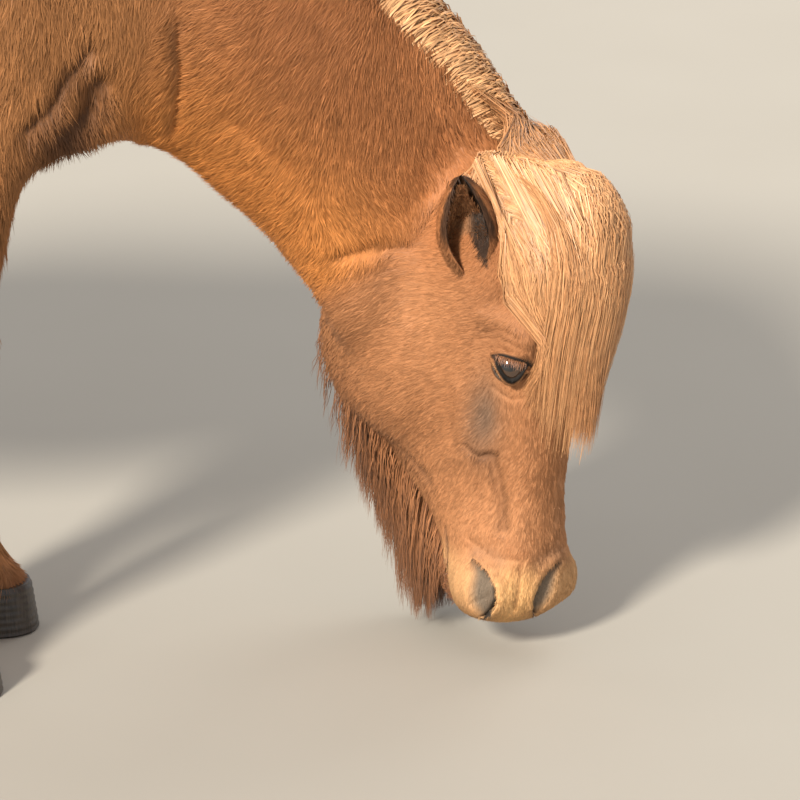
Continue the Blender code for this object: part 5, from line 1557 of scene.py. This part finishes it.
# Lashes: along the rim of each upper lid, out and down over the ball.
def makeLashes():
    draw = np.random.default_rng(lashes["seed"])
    roots, ways, outs, sides = [], [], [], []
    for side in (-1, 1):
        centre, outward, along, over = eyeAxes(side)
        a = np.linspace(-0.70, 0.70, lashes["count"]) + draw.normal(0, 0.01, lashes["count"])
        share = (a + eye["half"] - eye["middle"]) / (2 * eye["half"])
        h = eye["top"] + 0.10 * (0.5 - share) + 0.05
        o = np.sqrt(np.maximum(1 - a ** 2 - h ** 2, 0.02))
        way = a[:, None] * along + h[:, None] * over + o[:, None] * outward
        roots.append(centre + unit(way) * (eye["radius"] + 0.0022))
        ways.append(np.tile(outward, (len(a), 1)) + (0.25 * a)[:, None] * along)
        outs.append(np.tile(outward, (len(a), 1)))
        sides.append(np.tile(-over, (len(a), 1)))
    root, way, out, down = (np.concatenate(k) for k in (roots, ways, outs, sides))
    count = len(root)
    share = np.linspace(0, 1, lashes["steps"])[None, :, None]
    long = (lashes["length"] * draw.uniform(0.6, 1.05, count))[:, None, None]
    way = way + draw.normal(0, 0.20, (count, 3))
    place = root[:, None] + long * (way[:, None] * (share * 0.62 - 0.18 * share ** 2)
                                    + down[:, None] * (share * 0.30 + 0.52 * share ** 2))
    tone = np.tile(np.array(colours["jaw"]), (count, 1))
    strandPiece("lashes", place, np.cross(out, down), np.full(count, lashes["wide"]),
                tone * 0.8, tone * 1.2, rootUV(root), (out + down * -0.3)[:, None], lashes["seed"] + 1)


makeLashes()

earHair = {"count": 2600, "wide": 0.0008, "steps": 5, "seed": 91}


# Hair in the cup of each ear: short over the back wall, longer from the lower rim up across the
# hollow.
def makeEarHair():
    draw = np.random.default_rng(earHair["seed"])
    count = earHair["count"]
    places, outs, tones = [], [], []
    for side in (-1, 1):
        base, up, outward, across = earAxes(side)
        toFace = across * np.sign(across @ faceOut)
        crossing = draw.random(count) < 0.30
        share = np.where(crossing, draw.uniform(0.10, 0.34, count), draw.uniform(0.10, 0.86, count))
        wide, opening = alongRows(ear["rows"], share).T[1:]
        half = ear["half"] * wide - ear["wall"]
        angle = np.radians(np.where(crossing, draw.uniform(185, 250, count), draw.uniform(110, 215, count)))
        # 180 degrees is the middle of the back wall, less than that the wall toward the neck
        radial = (np.cos(angle) * 0.80)[:, None] * outward - np.sin(angle)[:, None] * toFace * -1.0
        radial = (np.cos(angle) * 0.80)[:, None] * outward - np.sin(angle)[:, None] * toFace
        root = (base + (share * ear["length"] - ear["sink"])[:, None] * up
                + (0.006 * np.sin(np.pi * share))[:, None] * outward + radial * (half * 0.97)[:, None])
        long = np.where(crossing, draw.uniform(0.016, 0.030, count), draw.uniform(0.007, 0.013, count))
        way = np.where(crossing[:, None], up * 0.75 + outward * 0.35 - radial * 0.25,
                       up * 0.85 + outward * 0.30 - radial * 0.10)
        way = unit(way + draw.normal(0, 0.16, (count, 3)))
        steps = np.linspace(0, 1, earHair["steps"])[None, :, None]
        places.append(root[:, None] + way[:, None] * long[:, None, None] * steps
                      + outward * (long[:, None, None] * 0.15 * steps ** 2))
        outs.append(np.tile(outward, (count, 1)))
        dark = ease((-np.sin(angle) * -1.0 - 0.1) / 0.5)[:, None] * 0
        tones.append(np.array(colours["lining"]) * (1 - dark) * draw.uniform(0.75, 1.25, (count, 1)))
    place, out, tone = (np.concatenate(k) for k in (places, outs, tones))
    strandPiece("earHair", place, np.cross(out, place[:, -1] - place[:, 0]), np.full(len(place), earHair["wide"]),
                tone, tone * 1.25, rootUV(place[:, 0]), out[:, None], earHair["seed"] + 1)


makeEarHair()

hoof = {"height": 0.048, "top": 0.0355, "sole": 0.0405, "toe": 0.002}


def hornMaterial():
    made, tree, shader = material("hoofHorn", 0.42, Coat_Weight=0.15, Coat_Roughness=0.3)
    place = objectPlace(tree)
    flat = node(tree, "ShaderNodeMapping", {"Scale": (1.0, 1.0, 0.06)}, Vector=place)
    streaks = node(tree, "ShaderNodeTexNoise", {"Scale": 420.0, "Detail": 4.0}, Vector=flat.outputs[0])
    rings = node(tree, "ShaderNodeTexWave", {"bands_direction": "Z", "Scale": 42.0, "Distortion": 1.5,
                                             "Detail": 2.0}, Vector=place)
    ramp = node(tree, "ShaderNodeValToRGB", None, Fac=streaks.outputs["Fac"])
    ramp.color_ramp.elements[0].position, ramp.color_ramp.elements[1].position = 0.3, 0.75
    ramp.color_ramp.elements[0].color = (0.012, 0.009, 0.007, 1)
    ramp.color_ramp.elements[1].color = (0.060, 0.044, 0.032, 1)
    tree.links.new(ramp.outputs["Color"], shader.inputs["Base Color"])
    both = node(tree, "ShaderNodeMath", {"operation": "MULTIPLY_ADD"})
    tree.links.new(rings.outputs["Fac"], both.inputs[0])
    both.inputs[1].default_value = 0.4
    tree.links.new(streaks.outputs["Fac"], both.inputs[2])
    bump = node(tree, "ShaderNodeBump", {"Strength": 0.5, "Distance": 0.0006}, Height=both.outputs[0])
    tree.links.new(bump.outputs[0], shader.inputs["Normal"])
    return made


horn = hornMaterial()


# A hoof: ovals from the sole to the coronet, with growth rings, longer at the toe.
def makeHoof(name, x, y):
    share = np.concatenate([[0.0, 0.015, 0.05], np.linspace(0.10, 0.97, 30), [1.0]])
    edge = np.where(share < 0.04, -0.0022 * (1 - share / 0.04), 0) - 0.0012 * ease((share - 0.92) / 0.08)
    radius = hoof["sole"] + (hoof["top"] - hoof["sole"]) * share + edge \
        + 0.00035 * np.sin(share * 2 * np.pi * 7) * ease(share / 0.1)
    zero = 0 * share
    centres = np.stack([x + hoof["toe"] * (1 - share), y + zero, share * hoof["height"]], 1)
    rings, a, b = ovals(centres, np.zeros((len(share), 3)), np.zeros((len(share), 3)), 2.2, 56)
    toe = np.where(a > 0, 1.06, 0.92)
    rings[..., 0] += a * radius[:, None] * toe
    rings[..., 1] += b * radius[:, None] * 0.94
    piece = makePiece("horn" + name, faceOutward(makeMesh(name, *tube(rings))), horn)
    piece.data.shade_smooth()
    piece.data.set_sharp_from_angle(angle=math.radians(45))
    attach(piece, "root")
    return piece


for side, sideName in ((-1, "right"), (1, "left")):
    for pair, key, stagger in (("fore", "foreleg", pony["foreStagger"]), ("hind", "hindleg", -pony["hindStagger"])):
        last = pony[key][-1]
        made = makeHoof(pair.title() + sideName.title(), pony["breastX"] + last[1] + side * stagger, side * last[4])
        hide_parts(f"hoof_{pair}_{sideName}")
print("eyes and hooves done")


# Stage: a plain pale floor, a broad key light from behind and left of the camera, a weak fill.
def makeStage():
    floor = makePiece("floor", makeMesh("floor", np.array([(-30, -30, 0), (30, -30, 0), (30, 30, 0), (-30, 30, 0)], float),
                                        np.array([[0, 1, 2, 3]])))
    made, tree, shader = material("paleFloor", 0.8)
    noise = node(tree, "ShaderNodeTexNoise", {"Scale": 3.0}, Vector=objectPlace(tree))
    ramp = node(tree, "ShaderNodeValToRGB", None, Fac=noise.outputs["Fac"])
    ramp.color_ramp.elements[0].color = (0.38, 0.35, 0.30, 1)
    ramp.color_ramp.elements[1].color = (0.41, 0.38, 0.33, 1)
    tree.links.new(ramp.outputs["Color"], shader.inputs["Base Color"])
    floor.data.materials.append(made)
    world = bpy.data.worlds.new("studio")
    bpy.context.scene.world = world
    world.use_nodes = True
    world.node_tree.nodes["Background"].inputs["Color"].default_value = (0.90, 0.90, 0.92, 1)
    world.node_tree.nodes["Background"].inputs["Strength"].default_value = 0.75
    target = Vector((pony["breastX"], 0, 0.35))
    for name, place, kind, size, power, tint in (
            ("keyLight", (-2.2, -4.4, 2.9), "SUN", math.radians(9), 5.6, (1.0, 0.94, 0.84)),
            ("rimLight", (2.6, 3.4, 3.6), "AREA", 2.5, 70, (1.0, 0.97, 0.92))):
        data = bpy.data.lights.new(name, kind)
        data.energy, data.color = power, tint
        if kind == "SUN":
            data.angle = size
        else:
            data.size = size
        light = bpy.data.objects.new(name, data)
        light.location = target + Vector(place)
        light.rotation_euler = (target - light.location).to_track_quat("-Z", "Y").to_euler()
        bpy.context.scene.collection.objects.link(light)


def makeCamera():
    data = bpy.data.cameras.new("camera")
    camera = bpy.data.objects.new("camera", data)
    bpy.context.scene.collection.objects.link(camera)
    elevation, distance, scale = math.radians(18), 6.0, 1070.0  # scale in pixels a metre
    target = Vector((pony["breastX"] + 260 / scale, 0, 0.2575))
    camera.location = target + distance * Vector((0, -math.cos(elevation), math.sin(elevation)))
    camera.rotation_euler = (math.radians(90) - elevation, 0, 0)
    data.sensor_width = 36.0
    data.lens = 36.0 * distance * scale / 800
    data.clip_end = 100
    bpy.context.scene.camera = camera


makeStage()
makeCamera()
bpy.context.scene.view_settings.view_transform = "Standard"
print("stage done")
